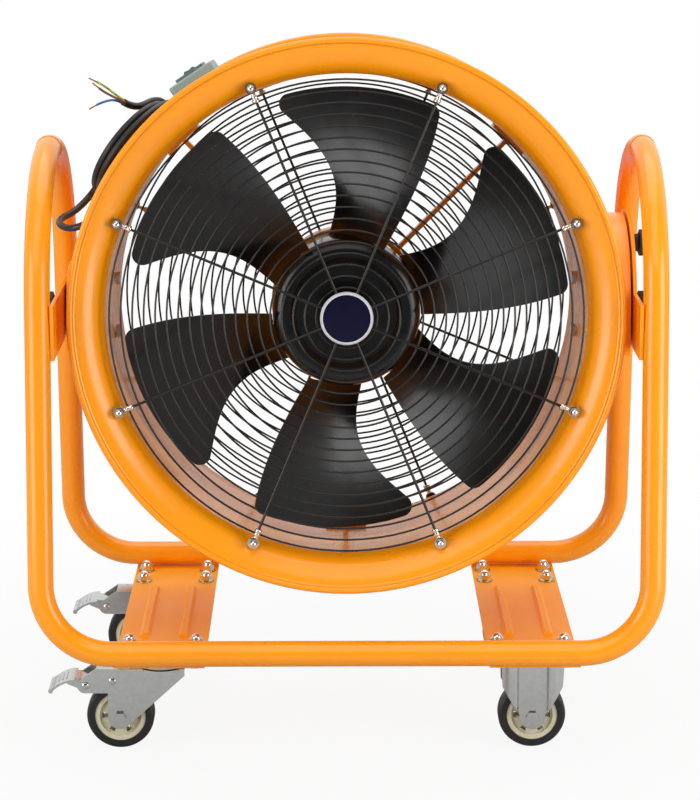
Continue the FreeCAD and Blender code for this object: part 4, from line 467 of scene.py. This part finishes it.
@dataclass
class PowerCable:
    """Rubber cable from the gland, coiled on the drum behind the front lip, with a stripped end."""

    diameter: float = 8 * MM
    core_diameter: float = 2.6 * MM
    core_spread: float = 0.85
    core_run: float = 14 * MM
    bare_length: float = 9 * MM
    strand_share: float = 0.62
    first_run: float = 38 * MM
    last_run: float = 30 * MM
    box_angle: float = math.radians(124)
    gland_radius: float = 285.5 * MM
    gland_setback: float = 74 * MM
    gland_end: float = 60 * MM
    coil_angle: float = math.radians(142)
    coil_center: float = 290.6 * MM
    coil_setback: float = -78 * MM
    coil_slope: float = math.radians(16.5)
    outer_radius: float = 68 * MM
    pitch: float = 10 * MM
    layer_step: float = 9 * MM
    turns_in: int = 5
    turns_out: int = 4
    points_per_half_turn: int = 8
    ring_steps: int = 5
    span_steps: int = 6
    curve_order: int = 3
    length_samples: int = 33

    def axes(self) -> tuple[np.ndarray, np.ndarray, np.ndarray, np.ndarray]:
        """Gives the coil's own frame on the level drum.

        Returns:
            The coil's middle and its down, front and up directions.
        """
        out = np.array([math.cos(self.coil_angle), 0, math.sin(self.coil_angle)])
        down = np.array([-out[2], 0, out[0]])
        back = np.array([0.0, 1.0, 0.0])
        front = out * math.sin(self.coil_slope) - back * math.cos(self.coil_slope)
        up = out * math.cos(self.coil_slope) + back * math.sin(self.coil_slope)
        return out * self.coil_center + back * self.coil_setback, down, front, up

    def in_coil(self, down: float, front: float, up: float) -> np.ndarray:
        """Gives a point of the coil's own frame, in metres, on the level drum."""
        middle, along, ahead, above = self.axes()
        return middle + along * down + ahead * front + above * up

    def stops(self) -> list[tuple[float, float]]:
        """Lists the ends of the half turns: in, a climb to the upper layer, and out again.

        Returns:
            Distances to the front and heights in the coil's own frame.
        """
        made = []
        for index in range(self.turns_in + self.turns_out + 2):
            steps = index if index <= self.turns_in else 2 * self.turns_in + 1 - index
            radius = self.outer_radius - steps * self.pitch / 2
            height = 0.0 if index <= self.turns_in else self.layer_step
            made.append((-radius if index % 2 == 0 else radius, height))
        return made

    def coil_points(self) -> list[np.ndarray]:
        """Follows each half circle, so that a quadratic curve through the corners lies on it.

        Returns:
            Corner points of a polygon round the coil's half circles.
        """
        stops = self.stops()
        count = self.points_per_half_turn
        grow = 1 / math.cos(math.pi / count / 2)
        made = [self.in_coil(0, *stops[0])]
        for index in range(len(stops) - 1):
            (front0, up0), (front1, up1) = stops[index], stops[index + 1]
            way = -1 if index % 2 == 0 else 1
            bulge = math.hypot(front1 - front0, up1 - up0) / 2
            for step in range(count):
                angle = math.pi * (step + 0.5) / count
                swing = math.cos(angle) * grow
                front = (front0 + front1) / 2 + (front0 - front1) / 2 * swing
                up = (up0 + up1) / 2 + (up0 - up1) / 2 * swing
                made.append(self.in_coil(way * bulge * math.sin(angle) * grow, front, up))
        made.append(self.in_coil(0, *stops[-1]))
        return made

    def gland_tip(self) -> tuple[np.ndarray, np.ndarray]:
        """Finds where the cable leaves the gland.

        Returns:
            The point and the cable's direction there, on the level drum.
        """
        out = np.array([math.cos(self.box_angle), 0, math.sin(self.box_angle)])
        down = np.array([-out[2], 0, out[0]])
        tip = out * self.gland_radius + down * self.gland_end + np.array([0, self.gland_setback, 0])
        return tip, down

    def lead_points(self) -> list[np.ndarray]:
        """Lists the lead's route from the gland round its loop to the coil.

        Returns:
            Corner points on the level drum.
        """
        tip, way = self.gland_tip()
        _, down, _, _ = self.axes()
        start = self.in_coil(0, *self.stops()[0])
        loop = np.array([
            (-271, 72, 150), (-305, 54, 104), (-331, 8, 94), (-306, -38, 86), (-261, -29, 111)]) * MM
        return [tip, tip + way * self.first_run, *loop, start + down * self.last_run, start]

    def tail_points(self) -> list[np.ndarray]:
        """Lists the tail's route from the coil up over the front lip.

        Returns:
            Corner points on the level drum.
        """
        last = self.stops()[-1]
        return [
            self.in_coil(0, *last),
            self.in_coil(-27 * MM, last[0], self.layer_step + 0.5 * MM),
            self.in_coil(-56 * MM, -38 * MM, 14 * MM),
            self.in_coil(-58 * MM, 2 * MM, 19 * MM),
            self.in_coil(-36 * MM, 30 * MM, 20.5 * MM),
            self.in_coil(-36 * MM, 56 * MM, 28 * MM),
        ]

    def curve(self, name: str, points: np.ndarray, diameter: float, finish: Finishes) -> bpy.types.Object:
        """Makes a round quadratic curve along the route's corner points.

        Args:
            name: name of the piece.
            points: route on the tilted drum, in metres.
            diameter: outside diameter.
            finish: its finish.

        Returns:
            The curve object, riding on the drum.
        """
        data = bpy.data.curves.new(name, "CURVE")
        data.dimensions = "3D"
        data.bevel_depth = diameter / 2
        data.bevel_resolution = self.ring_steps
        data.resolution_u = self.span_steps
        data.use_fill_caps = True
        spline = data.splines.new("NURBS")
        spline.points.add(len(points) - 1)
        spline.points.foreach_set("co", np.hstack([points, np.ones((len(points), 1))]).ravel())
        spline.order_u = self.curve_order
        spline.use_endpoint_u = True
        data.materials.append(finish.value.material())
        made = bpy.data.objects.new(name, data)
        bpy.context.scene.collection.objects.link(made)
        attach(made, "drum")
        log.info("piece %s on drum: %d route points", name, len(points))
        return made

    def curve_length(self, points: np.ndarray) -> float:
        """Measures a quadratic B-spline with clamped ends, on samples of each of its spans.

        Args:
            points: corner points of the curve.

        Returns:
            Its length in metres.
        """
        middles = (points[1:-2] + points[2:-1]) / 2
        starts = np.vstack([points[:1], middles])
        ends = np.vstack([middles, points[-1:]])
        corners = points[1:-1]
        t = np.linspace(0, 1, self.length_samples)[None, :, None]
        samples = (
            (1 - t) ** 2 * starts[:, None] + 2 * t * (1 - t) * corners[:, None] + t ** 2 * ends[:, None])
        return float(np.linalg.norm(np.diff(samples, axis=1), axis=2).sum())

    def build(self) -> None:
        """Makes the sheath as one curve, the three cores and their bare strands."""
        lead = self.lead_points()
        coil = self.coil_points()
        tail = self.tail_points()
        route = on_drum(np.array(lead[:-1] + coil[1:-1] + tail[1:]))
        sheath = self.curve("cable_sheath", route, self.diameter, Finishes.CABLE)
        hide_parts("power_cable_lead", "power_cable_coil", "power_cable_tail")
        cores = self.cores(tail)
        log.info("cable %.3f m", self.curve_length(route))

    def cores(self, tail: list[np.ndarray]) -> list[bpy.types.Object]:
        """Makes the three stripped cores with bare copper ends.

        Args:
            tail: the tail's route on the level drum.

        Returns:
            The core and strand pieces.
        """
        end = tail[-1]
        way = (tail[-1] - tail[-2]) / np.linalg.norm(tail[-1] - tail[-2])
        side = np.cross(way, (0, 0, 1))
        side /= np.linalg.norm(side)
        above = np.cross(side, way)
        tips = (
            ("earth", Finishes.EARTH_CORE, (-260, -140, 252), (-276, -143, 260)),
            ("brown", Finishes.BROWN_CORE, (-260, -143, 245), (-272, -146, 255)),
            ("blue", Finishes.BLUE_CORE, (-262, -144, 234.5), (-276, -146, 227)),
        )
        made = []
        for index, (label, finish, bend, tip) in enumerate(tips):
            around = math.radians(90 + 120 * index)
            lay = side * math.cos(around) + above * math.sin(around)
            start = end + lay * self.core_diameter * self.core_spread
            bend_at, tip_at = np.array(bend) * MM, np.array(tip) * MM
            bare = (tip_at - bend_at) / np.linalg.norm(tip_at - bend_at)
            cut = tip_at - bare * self.bare_length
            route = on_drum(np.array([start, start + way * self.core_run, bend_at, cut]))
            core = self.curve(f"{label}_core", route, self.core_diameter, finish)
            made.append(core)
            strands = on_drum(np.array([cut, (cut + tip_at) / 2, tip_at]))
            made.append(self.curve(
                f"{label}_strands", strands, self.core_diameter * self.strand_share, Finishes.COPPER))
        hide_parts("power_cable_cores")
        return made


@dataclass
class DrumSkin:
    """Rolled drum wall with flared lips and beaded edges, turned in one piece."""

    inner_radius: float = 264 * MM
    wall: float = 1.5 * MM
    barrel_half: float = 115.873 * MM
    flare_center: float = 304.12 * MM
    flare_setback: float = 105.12 * MM
    flare_radius: float = 41.535 * MM
    flare_start: float = math.radians(15)
    bead_circle: float = 300.5 * MM
    bead_plane: float = 146.5 * MM
    bead_radius: float = 3.5 * MM
    crease: float = 0.4 * MM
    inside_steps: int = 18
    outside_steps: int = 14
    bead_steps: int = 26
    segments: int = 360

    def flare(self, radius: float, count: int) -> np.ndarray:
        """Follows one side of the front flare from the barrel to the bead.

        Args:
            radius: radius of the flare's arc on this side.
            count: number of points.

        Returns:
            Points of radius and distance along the drum, ending on the bead's circle.
        """
        reach = math.hypot(self.bead_circle - self.flare_center, self.bead_plane - self.flare_setback)
        lean = math.atan2(self.bead_plane - self.flare_setback, self.flare_center - self.bead_circle)
        meet = lean - math.acos((radius ** 2 + reach ** 2 - self.bead_radius ** 2) / (2 * radius * reach))
        angle = np.linspace(self.flare_start, meet, count)
        out = self.flare_center - radius * np.cos(angle)
        along = -self.flare_setback - radius * np.sin(angle)
        return np.stack([out, along], axis=1)

    def bead(self, start: np.ndarray, end: np.ndarray) -> np.ndarray:
        """Goes round the rolled edge, in front of it, from one side of the sheet to the other.

        Args:
            start: where the sheet's inside meets the edge.
            end: where its outside meets the edge.

        Returns:
            Points of radius and distance along the drum between the two.
        """
        middle = np.array([self.bead_circle, -self.bead_plane])
        first = math.atan2(*(start - middle)[::-1]) % (2 * math.pi)
        last = math.atan2(*(end - middle)[::-1]) % (2 * math.pi) + 2 * math.pi
        angle = np.linspace(first, last, self.bead_steps)[1:-1]
        return middle + self.bead_radius * np.stack([np.cos(angle), np.sin(angle)], axis=1)

    def profile(self) -> np.ndarray:
        """Closes the wall's section: round the front lip, back inside, round the rear lip and home.

        Returns:
            Loop of radius and distance along the drum, in metres.
        """
        inside = self.flare(self.flare_radius, self.inside_steps)
        outside = self.flare(self.flare_radius - self.wall, self.outside_steps)[::-1]
        inner_end = (self.inner_radius, -self.barrel_half + self.crease)
        outer_end = (self.inner_radius + self.wall, -self.barrel_half + self.wall + self.crease)
        bead = self.bead(inside[-1], outside[0])
        front = np.vstack([[inner_end], inside, bead, outside, [outer_end]])
        return np.vstack([front[::-1] * (1, -1), front])[::-1]

    def build(self) -> None:
        """Turns the section about the drum's axis, which is Y."""
        points = revolve(self.profile(), self.segments)[..., [0, 2, 1]]
        made = place_grid("drum_skin", on_drum(points)[None], (True, True), Finishes.ORANGE, "drum")
        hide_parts("drum_shell")


@dataclass
class Badge:
    """Bare navy enamel face in the badge's bright rim."""

    radius: float = 26 * MM
    face: float = -141.3 * MM
    crown: float = 0.4 * MM
    least_share: float = 0.0001
    rings: int = 9
    segments: int = 96

    def build(self) -> None:
        """Makes the shallow dome: height falls with the square of the radius."""
        share = np.linspace(self.least_share, 1, self.rings)
        profile = np.stack([share * self.radius, self.crown * (1 - share ** 2)], axis=1)[::-1]
        dome = turn_to(revolve(profile, self.segments), Vector((0, -1, 0)), np.array([0, self.face, 0]))
        place_grid("badge_face", on_drum(dome)[None], (False, True), Finishes.NAVY, "drum")


@dataclass
class PedalRibs:
    """Raised ribs across the brake pedals' bowed treads."""

    pivot: tuple[float, float, float] = (-290 * MM, 0.0, 75 * MM)
    tread_start: float = -12 * MM
    tread_end: float = -38 * MM
    tread_top: float = 7 * MM
    tread_fall: float = 12 * MM
    shares: tuple[float, ...] = (0.34, 0.5, 0.66)
    seat: float = 1.2 * MM
    half_width: float = 1.1 * MM
    height: float = 0.95 * MM
    half_length: float = 13 * MM
    fade_power: int = 8
    least_fade: float = 0.02
    steps: int = 13
    section_steps: int = 9

    def rib(self, share: float) -> np.ndarray:
        """Makes one rib about the pedal's pivot: half ellipses that fade at their ends.

        Args:
            share: its place along the tread, from 0 to 1.

        Returns:
            Grid of points along and round the rib, in metres.
        """
        around = np.linspace(0, math.pi, self.section_steps)[None, :, None]
        along = np.linspace(-1, 1, self.steps)[:, None, None]
        taper = np.sqrt(np.clip(1 - along ** self.fade_power, self.least_fade, 1))
        length = self.tread_end - self.tread_start
        slope = np.array([length, 0, -2 * self.tread_fall * share])
        slope /= np.linalg.norm(slope)
        normal = np.array([slope[2], 0, -slope[0]])
        level = self.tread_top - self.tread_fall * share ** 2
        foot = np.array([self.tread_start + share * length, 0, level]) + normal * self.seat
        ridge = slope * np.cos(around) * self.half_width + normal * np.sin(around) * self.height
        return foot + ridge * taper + np.array([0, self.half_length, 0]) * along

    def build(self) -> None:
        """Sets the ribs on both pedals."""
        ribs = np.array(self.pivot) + np.array([self.rib(share) for share in self.shares])
        for label, end in CASTER_ENDS:
            points = ribs + np.array([0, end * CASTER_Y, 0])
            place_grid(f"{label}_pedal_ribs", points, (False, False), Finishes.ZINC, f"{label}_pedal")


@dataclass
class RodCollars:
    """Bright stepped collars on the grilles' rods, next to their eyes."""

    rod_count: int = 8
    rod_plane: float = 136.8 * MM
    eye_circle: float = 269 * MM
    inset: float = 16.5 * MM
    segments: int = 20

    def build(self) -> None:
        """Turns one collar and sets it on every rod of both grilles."""
        profile = np.array([
            (1.5, 0), (2.3, 0.2), (2.6, 1.0), (2.4, 3.0), (2.9, 3.4), (3.2, 4.2), (3.2, 6.4), (2.8, 7.2),
            (3.6, 7.6), (4.1, 8.6), (4.1, 10.4), (3.6, 11.2), (1.5, 11.4)]) * MM
        shape = revolve(profile[::-1] * (1, -1) + (0, profile[-1, 1]), self.segments)
        made = []
        for end in (-1, 1):
            for step in range(self.rod_count):
                angle = 2 * math.pi * (step + 0.5) / self.rod_count
                out = np.array([math.cos(angle), 0, math.sin(angle)])
                base = out * (self.eye_circle - self.inset) + np.array([0, end * self.rod_plane, 0])
                made.append(turn_to(shape, Vector(out), base))
        place_grid("rod_collars", on_drum(np.array(made)), (False, True), Finishes.CHROME, "drum")


@dataclass
class NutWashers:
    """Chromated washers under the base plates' cap nuts."""

    plate_top: float = 109 * MM
    hole_long: float = 75 * MM
    hole_short: float = 46 * MM
    bore: float = 5 * MM
    radius: float = 9.8 * MM
    thickness: float = 1.1 * MM
    chamfer: float = 0.25 * MM
    segments: int = 40

    def section(self) -> np.ndarray:
        """Draws the ring's section with chamfered edges.

        Returns:
            Closed loop of radius and height, going round so that faces point out.
        """
        inner, outer, height, chamfer = self.bore, self.radius, self.thickness, self.chamfer
        return np.array([
            (inner + chamfer, 0), (outer - chamfer, 0), (outer, chamfer), (outer, height - chamfer),
            (outer - chamfer, height), (inner + chamfer, height), (inner, height - chamfer),
            (inner, chamfer)])

    def places(self) -> np.ndarray:
        """Lists the places of the caster bolts, four at each of four casters.

        Returns:
            Points on the base plates' tops, in metres.
        """
        signs = np.array(np.meshgrid(*[(-1, 1)] * 4, indexing="ij")).reshape(4, -1).T
        x = signs[:, 0] * CASTER_X + signs[:, 2] * self.hole_long / 2
        y = signs[:, 1] * CASTER_Y + signs[:, 3] * self.hole_short / 2
        return np.stack([x, y, np.full(len(x), self.plate_top)], axis=1)

    def build(self) -> None:
        """Turns one washer and sets it under every nut."""
        ring = revolve(self.section(), self.segments)
        points = ring[None] + self.places()[:, None, None, :]
        place_grid("nut_washers", points, (True, True), Finishes.CHROMATE, "frame")


@dataclass
class ForkRivets:
    """Domed rivet heads on the swivel forks' legs.

    Attributes:
        places: distance from the swivel's axis, height, and how far the leg stands proud there.
        radius: radius of a head.
        height: height of a head.
        tip: radius at which a head's point closes.
        steps: rows up a head.
        segments: steps round a head.
    """

    places: tuple[tuple[float, float, float], ...] = ((-84 * MM, 75 * MM, 1 * MM), (-54 * MM, 80 * MM, 0.0))
    radius: float = 4.2 * MM
    height: float = 1.9 * MM
    tip: float = 0.01 * MM
    steps: int = 7
    segments: int = 24

    def build(self) -> None:
        """Sets a quarter ellipse, turned, on both faces at each place."""
        angle = np.linspace(0, math.pi / 2, self.steps)
        profile = np.stack([self.radius * np.cos(angle), self.height * np.sin(angle)], axis=1)
        profile[-1, 0] = self.tip
        head = revolve(profile, self.segments)
        for label, end in CASTER_ENDS:
            made = []
            for across, height, proud in self.places:
                for face in (-1, 1):
                    leg = end * CASTER_Y + face * (FORK_OUTER + proud)
                    base = np.array([-CASTER_X + across, leg, height])
                    made.append(turn_to(head, Vector((0, face, 0)), base))
            place_grid(
                f"{label}_fork_rivets", np.array(made), (False, True), Finishes.ZINC, f"{label}_swivel")


@dataclass
class HoopWelds:
    """Painted weld beads round the tube at the top of each hoop."""

    frame_half_width: float = 333.25 * MM
    hoop_rise: float = 178 * MM
    tube_radius: float = 14 * MM
    lift: float = 0.1 * MM
    height: float = 0.9 * MM
    half_width: float = 2.4 * MM
    ripple_share: float = 0.18
    ripple_count: int = 30
    steps: int = 120
    section_steps: int = 12

    def build(self) -> None:
        """Carries an oval round the tube, rippled along its length."""
        turn = np.linspace(0, 2 * math.pi, self.steps, endpoint=False)[:, None]
        across = np.linspace(0, 2 * math.pi, self.section_steps, endpoint=False)[None, :]
        ripple = 1 + self.ripple_share * np.sin(turn * self.ripple_count)
        radius = self.tube_radius + self.lift + self.height * ripple * np.cos(across)
        along = self.half_width * np.sin(across) * np.ones_like(turn)
        level = PIVOT_HEIGHT + self.hoop_rise + radius * np.sin(turn)
        made = []
        for side in (-1, 1):
            out = side * self.frame_half_width + radius * np.cos(turn)
            made.append(np.stack([out, along, level], axis=-1))
        place_grid("hoop_welds", np.array(made), (True, True), Finishes.ORANGE, "frame")


@dataclass
class ForkPressing:
    """Pressed outer faces of the fixed forks: a flat middle between two stiffening ridges."""

    axle_height: float = 37.5 * MM
    boss_radius: float = 14.2 * MM
    boss_angle: float = math.radians(80)
    shoulder_height: float = 72 * MM
    shoulder_half: float = 33.5 * MM
    top_height: float = 98.5 * MM
    top_half: float = 35 * MM
    flat_half: float = 14 * MM
    ridge_rise: float = 5 * MM
    ridge_flat: float = 6 * MM
    ridge_fall: float = 8 * MM
    ridge_height: float = 4.2 * MM
    proud: float = 1.5 * MM
    sheet: float = 2 * MM
    edge: float = 0.4 * MM
    tip_angle: float = 0.02
    boss_steps: int = 16
    side_steps: int = 28
    columns: int = 97

    def outline(self) -> tuple[np.ndarray, np.ndarray]:
        """Follows the fork's edge upwards: round the boss, out along the taper and up the sides.

        Returns:
            Heights and the half widths there, with one more row beyond each end that closes the sheet.
        """
        angle = np.linspace(math.pi - self.tip_angle, self.boss_angle, self.boss_steps)
        boss_heights = self.axle_height + self.boss_radius * np.cos(angle)
        boss_halves = self.boss_radius * np.sin(angle)
        rise = np.linspace(boss_heights[-1], self.top_height, self.side_steps)[1:]
        sides = np.interp(
            rise, [boss_heights[-1], self.shoulder_height, self.top_height],
            [boss_halves[-1], self.shoulder_half, self.top_half])
        low, high = boss_heights[0] - self.edge, self.top_height + self.edge
        heights = np.concatenate([[low], boss_heights, rise, [high]])
        halves = np.concatenate([boss_halves[:1], boss_halves, sides, sides[-1:]])
        return heights, halves

    def relief(self, across: np.ndarray) -> np.ndarray:
        """Gives the face's height: a cubic step up to each ridge and a cubic step down outside it.

        Args:
            across: distances from the fork's middle.

        Returns:
            Heights over the fork's plate, of the same shape.
        """
        away = np.abs(across)
        up = smooth_step(away, self.flat_half, self.ridge_rise)
        down = smooth_step(away, self.flat_half + self.ridge_rise + self.ridge_flat, self.ridge_fall)
        return self.proud + self.ridge_height * up - (self.ridge_height + self.proud) * down

    def build(self) -> None:
        """Makes a closed sheet on both legs of both fixed forks."""
        heights, halves = self.outline()
        across = halves[:, None] * np.linspace(-1, 1, self.columns)
        middle = self.relief(across) - self.sheet / 2
        half_sheet = np.full((len(heights), 1), self.sheet / 2)
        half_sheet[[0, -1]] = 0
        x = CASTER_X + np.hstack([across, across[:, ::-1]])
        out = np.hstack([middle + half_sheet, (middle - half_sheet)[:, ::-1]])
        z = np.broadcast_to(heights[:, None], x.shape)
        made = []
        for end in (-1, 1):
            for face in (-1, 1):
                y = end * CASTER_Y + face * (FORK_OUTER + out)
                made.append(np.stack([x, y, z], axis=-1)[:, ::-face])
        place_grid("fork_pressings", np.array(made), (False, True), Finishes.ZINC, "frame")


@dataclass
class CoilTie:
    """Flat strap that holds the cable coil together."""

    cable: PowerCable
    half_width: float = 18.6 * MM
    half_height: float = 9.6 * MM
    band: float = 5 * MM
    thickness: float = 1.1 * MM
    squareness: float = 4.0
    middle_radius: float = 55.5 * MM
    steps: int = 64

    def build(self) -> None:
        """Carries a superellipse round the strands: |x/a|^n + |y/b|^n = 1, as wide as the strap."""
        t = np.linspace(0, 2 * math.pi, self.steps, endpoint=False)
        power = 2 / self.squareness
        flat = self.half_width * np.sign(np.cos(t)) * np.abs(np.cos(t)) ** power
        tall = self.half_height * np.sign(np.sin(t)) * np.abs(np.sin(t)) ** power
        grow = np.array([0, 0, self.thickness, self.thickness])
        along = np.array([0.5, -0.5, -0.5, 0.5]) * self.band
        middle, down, front, up = self.cable.axes()
        radius = self.middle_radius + flat[:, None] * (1 + grow / self.half_width)
        height = self.cable.layer_step / 2 + tall[:, None] * (1 + grow / self.half_height)
        points = (
            middle + radius[..., None] * down + height[..., None] * up
            + np.broadcast_to(along, radius.shape)[..., None] * front)
        place_grid("coil_tie", on_drum(points)[None], (True, True), Finishes.KNOB, "drum", smooth=False)


@dataclass(frozen=True)
class Panel:
    """Soft rectangular lamp that the camera doesn't see.

    Attributes:
        name: name of the lamp.
        place: its middle, in metres.
        width: its width.
        height: its height.
        power: its power in watts.
    """

    name: str
    place: tuple[float, float, float]
    width: float
    height: float
    power: float

    def light(self, aim: tuple[float, float, float]) -> None:
        """Hangs the lamp in its place.

        Args:
            aim: the point it faces.
        """
        data = bpy.data.lights.new(self.name, "AREA")
        data.shape = "RECTANGLE"
        data.size = self.width
        data.size_y = self.height
        data.energy = self.power
        lamp = bpy.data.objects.new(self.name, data)
        lamp.visible_camera = False
        lamp.location = self.place
        way = Vector(aim) - Vector(self.place)
        lamp.rotation_euler = way.to_track_quat("-Z", "Y").to_euler()
        bpy.context.scene.collection.objects.link(lamp)


@dataclass
class Studio:
    """Plain pale floor, soft lamps and the camera at the photograph's angle."""

    eye: tuple[float, float, float] = (-0.0189, -3.068, 1.038)
    pitch: float = math.radians(12.438)
    yaw: float = math.radians(0.439)
    lens: float = 123.4
    lit_radius: float = 0.3
    white_radius: float = 1.1
    shade_share: float = 0.09
    front_light: float = 0.12
    rear_light: float = 0.95
    front_depth: float = -0.25
    rear_depth: float = 0.5
    sensor_width: float = 36
    floor_reach: float = 30.0
    floor_colour: str = "#C4C4C4"
    aim: tuple[float, float, float] = (0, 0, 0.42)
    panels: tuple[Panel, ...] = (
        Panel("left panel", (-2.1, -1.6, 0.85), 1.4, 1.7, 34),
        Panel("right panel", (1.35, -1.0, 0.62), 0.9, 1.24, 16),
        Panel("high front panel", (-0.5, -2.2, 3.1), 3.0, 2.4, 36),
        Panel("top panel", (0.2, 0.5, 3.2), 2.8, 2.8, 43),
    )

    def camera(self) -> None:
        """Makes the camera."""
        data = bpy.data.cameras.new("camera")
        data.lens = self.lens
        data.sensor_width = self.sensor_width
        data.sensor_fit = "AUTO"
        made = bpy.data.objects.new("camera", data)
        made.location = self.eye
        made.rotation_euler = (math.pi / 2 - self.pitch, 0, -self.yaw)
        bpy.context.scene.collection.objects.link(made)
        bpy.context.scene.camera = made

    def floor(self) -> None:
        """Makes a wide pale floor that keeps the fan's shadow and turns plain white further out."""
        mesh = bpy.data.meshes.new("floor")
        reach = self.floor_reach
        corners = [(-reach, -reach, 0), (reach, -reach, 0), (reach, reach, 0), (-reach, reach, 0)]
        mesh.from_pydata(corners, [], [(0, 1, 2, 3)])
        made = bpy.data.objects.new("floor", mesh)
        bpy.context.scene.collection.objects.link(made)
        material = bpy.data.materials.new("pale studio floor")
        material.use_nodes = True
        tree = material.node_tree
        tree.nodes.clear()
        place = add_node(tree, "ShaderNodeTexCoord").outputs["Object"]
        away = add_node(
            tree, "ShaderNodeVectorMath", {"operation": "LENGTH"}, Vector=place).outputs["Value"]
        fade = add_node(
            tree, "ShaderNodeMapRange", {"interpolation_type": "SMOOTHSTEP"}, Value=away,
            From_Min=self.lit_radius, From_Max=self.white_radius,
            To_Min=1 - self.shade_share).outputs["Result"]
        seen = add_node(tree, "ShaderNodeLightPath").outputs["Is Camera Ray"]
        white = add_node(
            tree, "ShaderNodeMath", {"operation": "MULTIPLY"}, i0=fade, i1=seen).outputs["Value"]
        lit = add_node(tree, "ShaderNodeBsdfDiffuse", Color=linear(self.floor_colour)).outputs["BSDF"]
        plain = add_node(tree, "ShaderNodeEmission", Color=(1, 1, 1, 1), Strength=1.0).outputs["Emission"]
        both = add_node(tree, "ShaderNodeMixShader", Fac=white, i1=lit, i2=plain).outputs["Shader"]
        add_node(tree, "ShaderNodeOutputMaterial", Surface=both)
        mesh.materials.append(material)

    def room(self) -> None:
        """Makes a room that darkens to the front, and that the camera sees plain white."""
        world = bpy.data.worlds.new("studio room")
        bpy.context.scene.world = world
        world.use_nodes = True
        tree = world.node_tree
        tree.nodes.clear()
        way = add_node(tree, "ShaderNodeTexCoord").outputs["Generated"]
        depth = add_node(tree, "ShaderNodeSeparateXYZ", Vector=way).outputs["Y"]
        glow = add_node(
            tree, "ShaderNodeMapRange", Value=depth, From_Min=self.front_depth, From_Max=self.rear_depth,
            To_Min=self.front_light, To_Max=self.rear_light).outputs["Result"]
        seen = add_node(tree, "ShaderNodeLightPath").outputs["Is Camera Ray"]
        shown = add_node(tree, "ShaderNodeMix", {"data_type": "FLOAT"}, i0=seen, i2=glow, i3=1.0).outputs[0]
        light = add_node(tree, "ShaderNodeBackground", Color=(1, 1, 1, 1), Strength=shown)
        add_node(tree, "ShaderNodeOutputWorld", Surface=light.outputs["Background"])

    def build(self) -> None:
        """Sets up the whole studio."""
        bpy.context.scene.view_settings.view_transform = "Standard"
        self.camera()
        self.floor()
        self.room()
        for panel in self.panels:
            panel.light(self.aim)


def main() -> None:
    """Builds every piece in order."""
    Studio().build()
    CadDress().dress()
    cable = PowerCable()
    cable.build()
    CoilTie(cable).build()
    DrumSkin().build()
    Badge().build()
    PedalRibs().build()
    RodCollars().build()
    NutWashers().build()
    ForkRivets().build()
    HoopWelds().build()
    ForkPressing().build()
    bpy.context.view_layer.update()


if __name__ == "__main__":
    main()
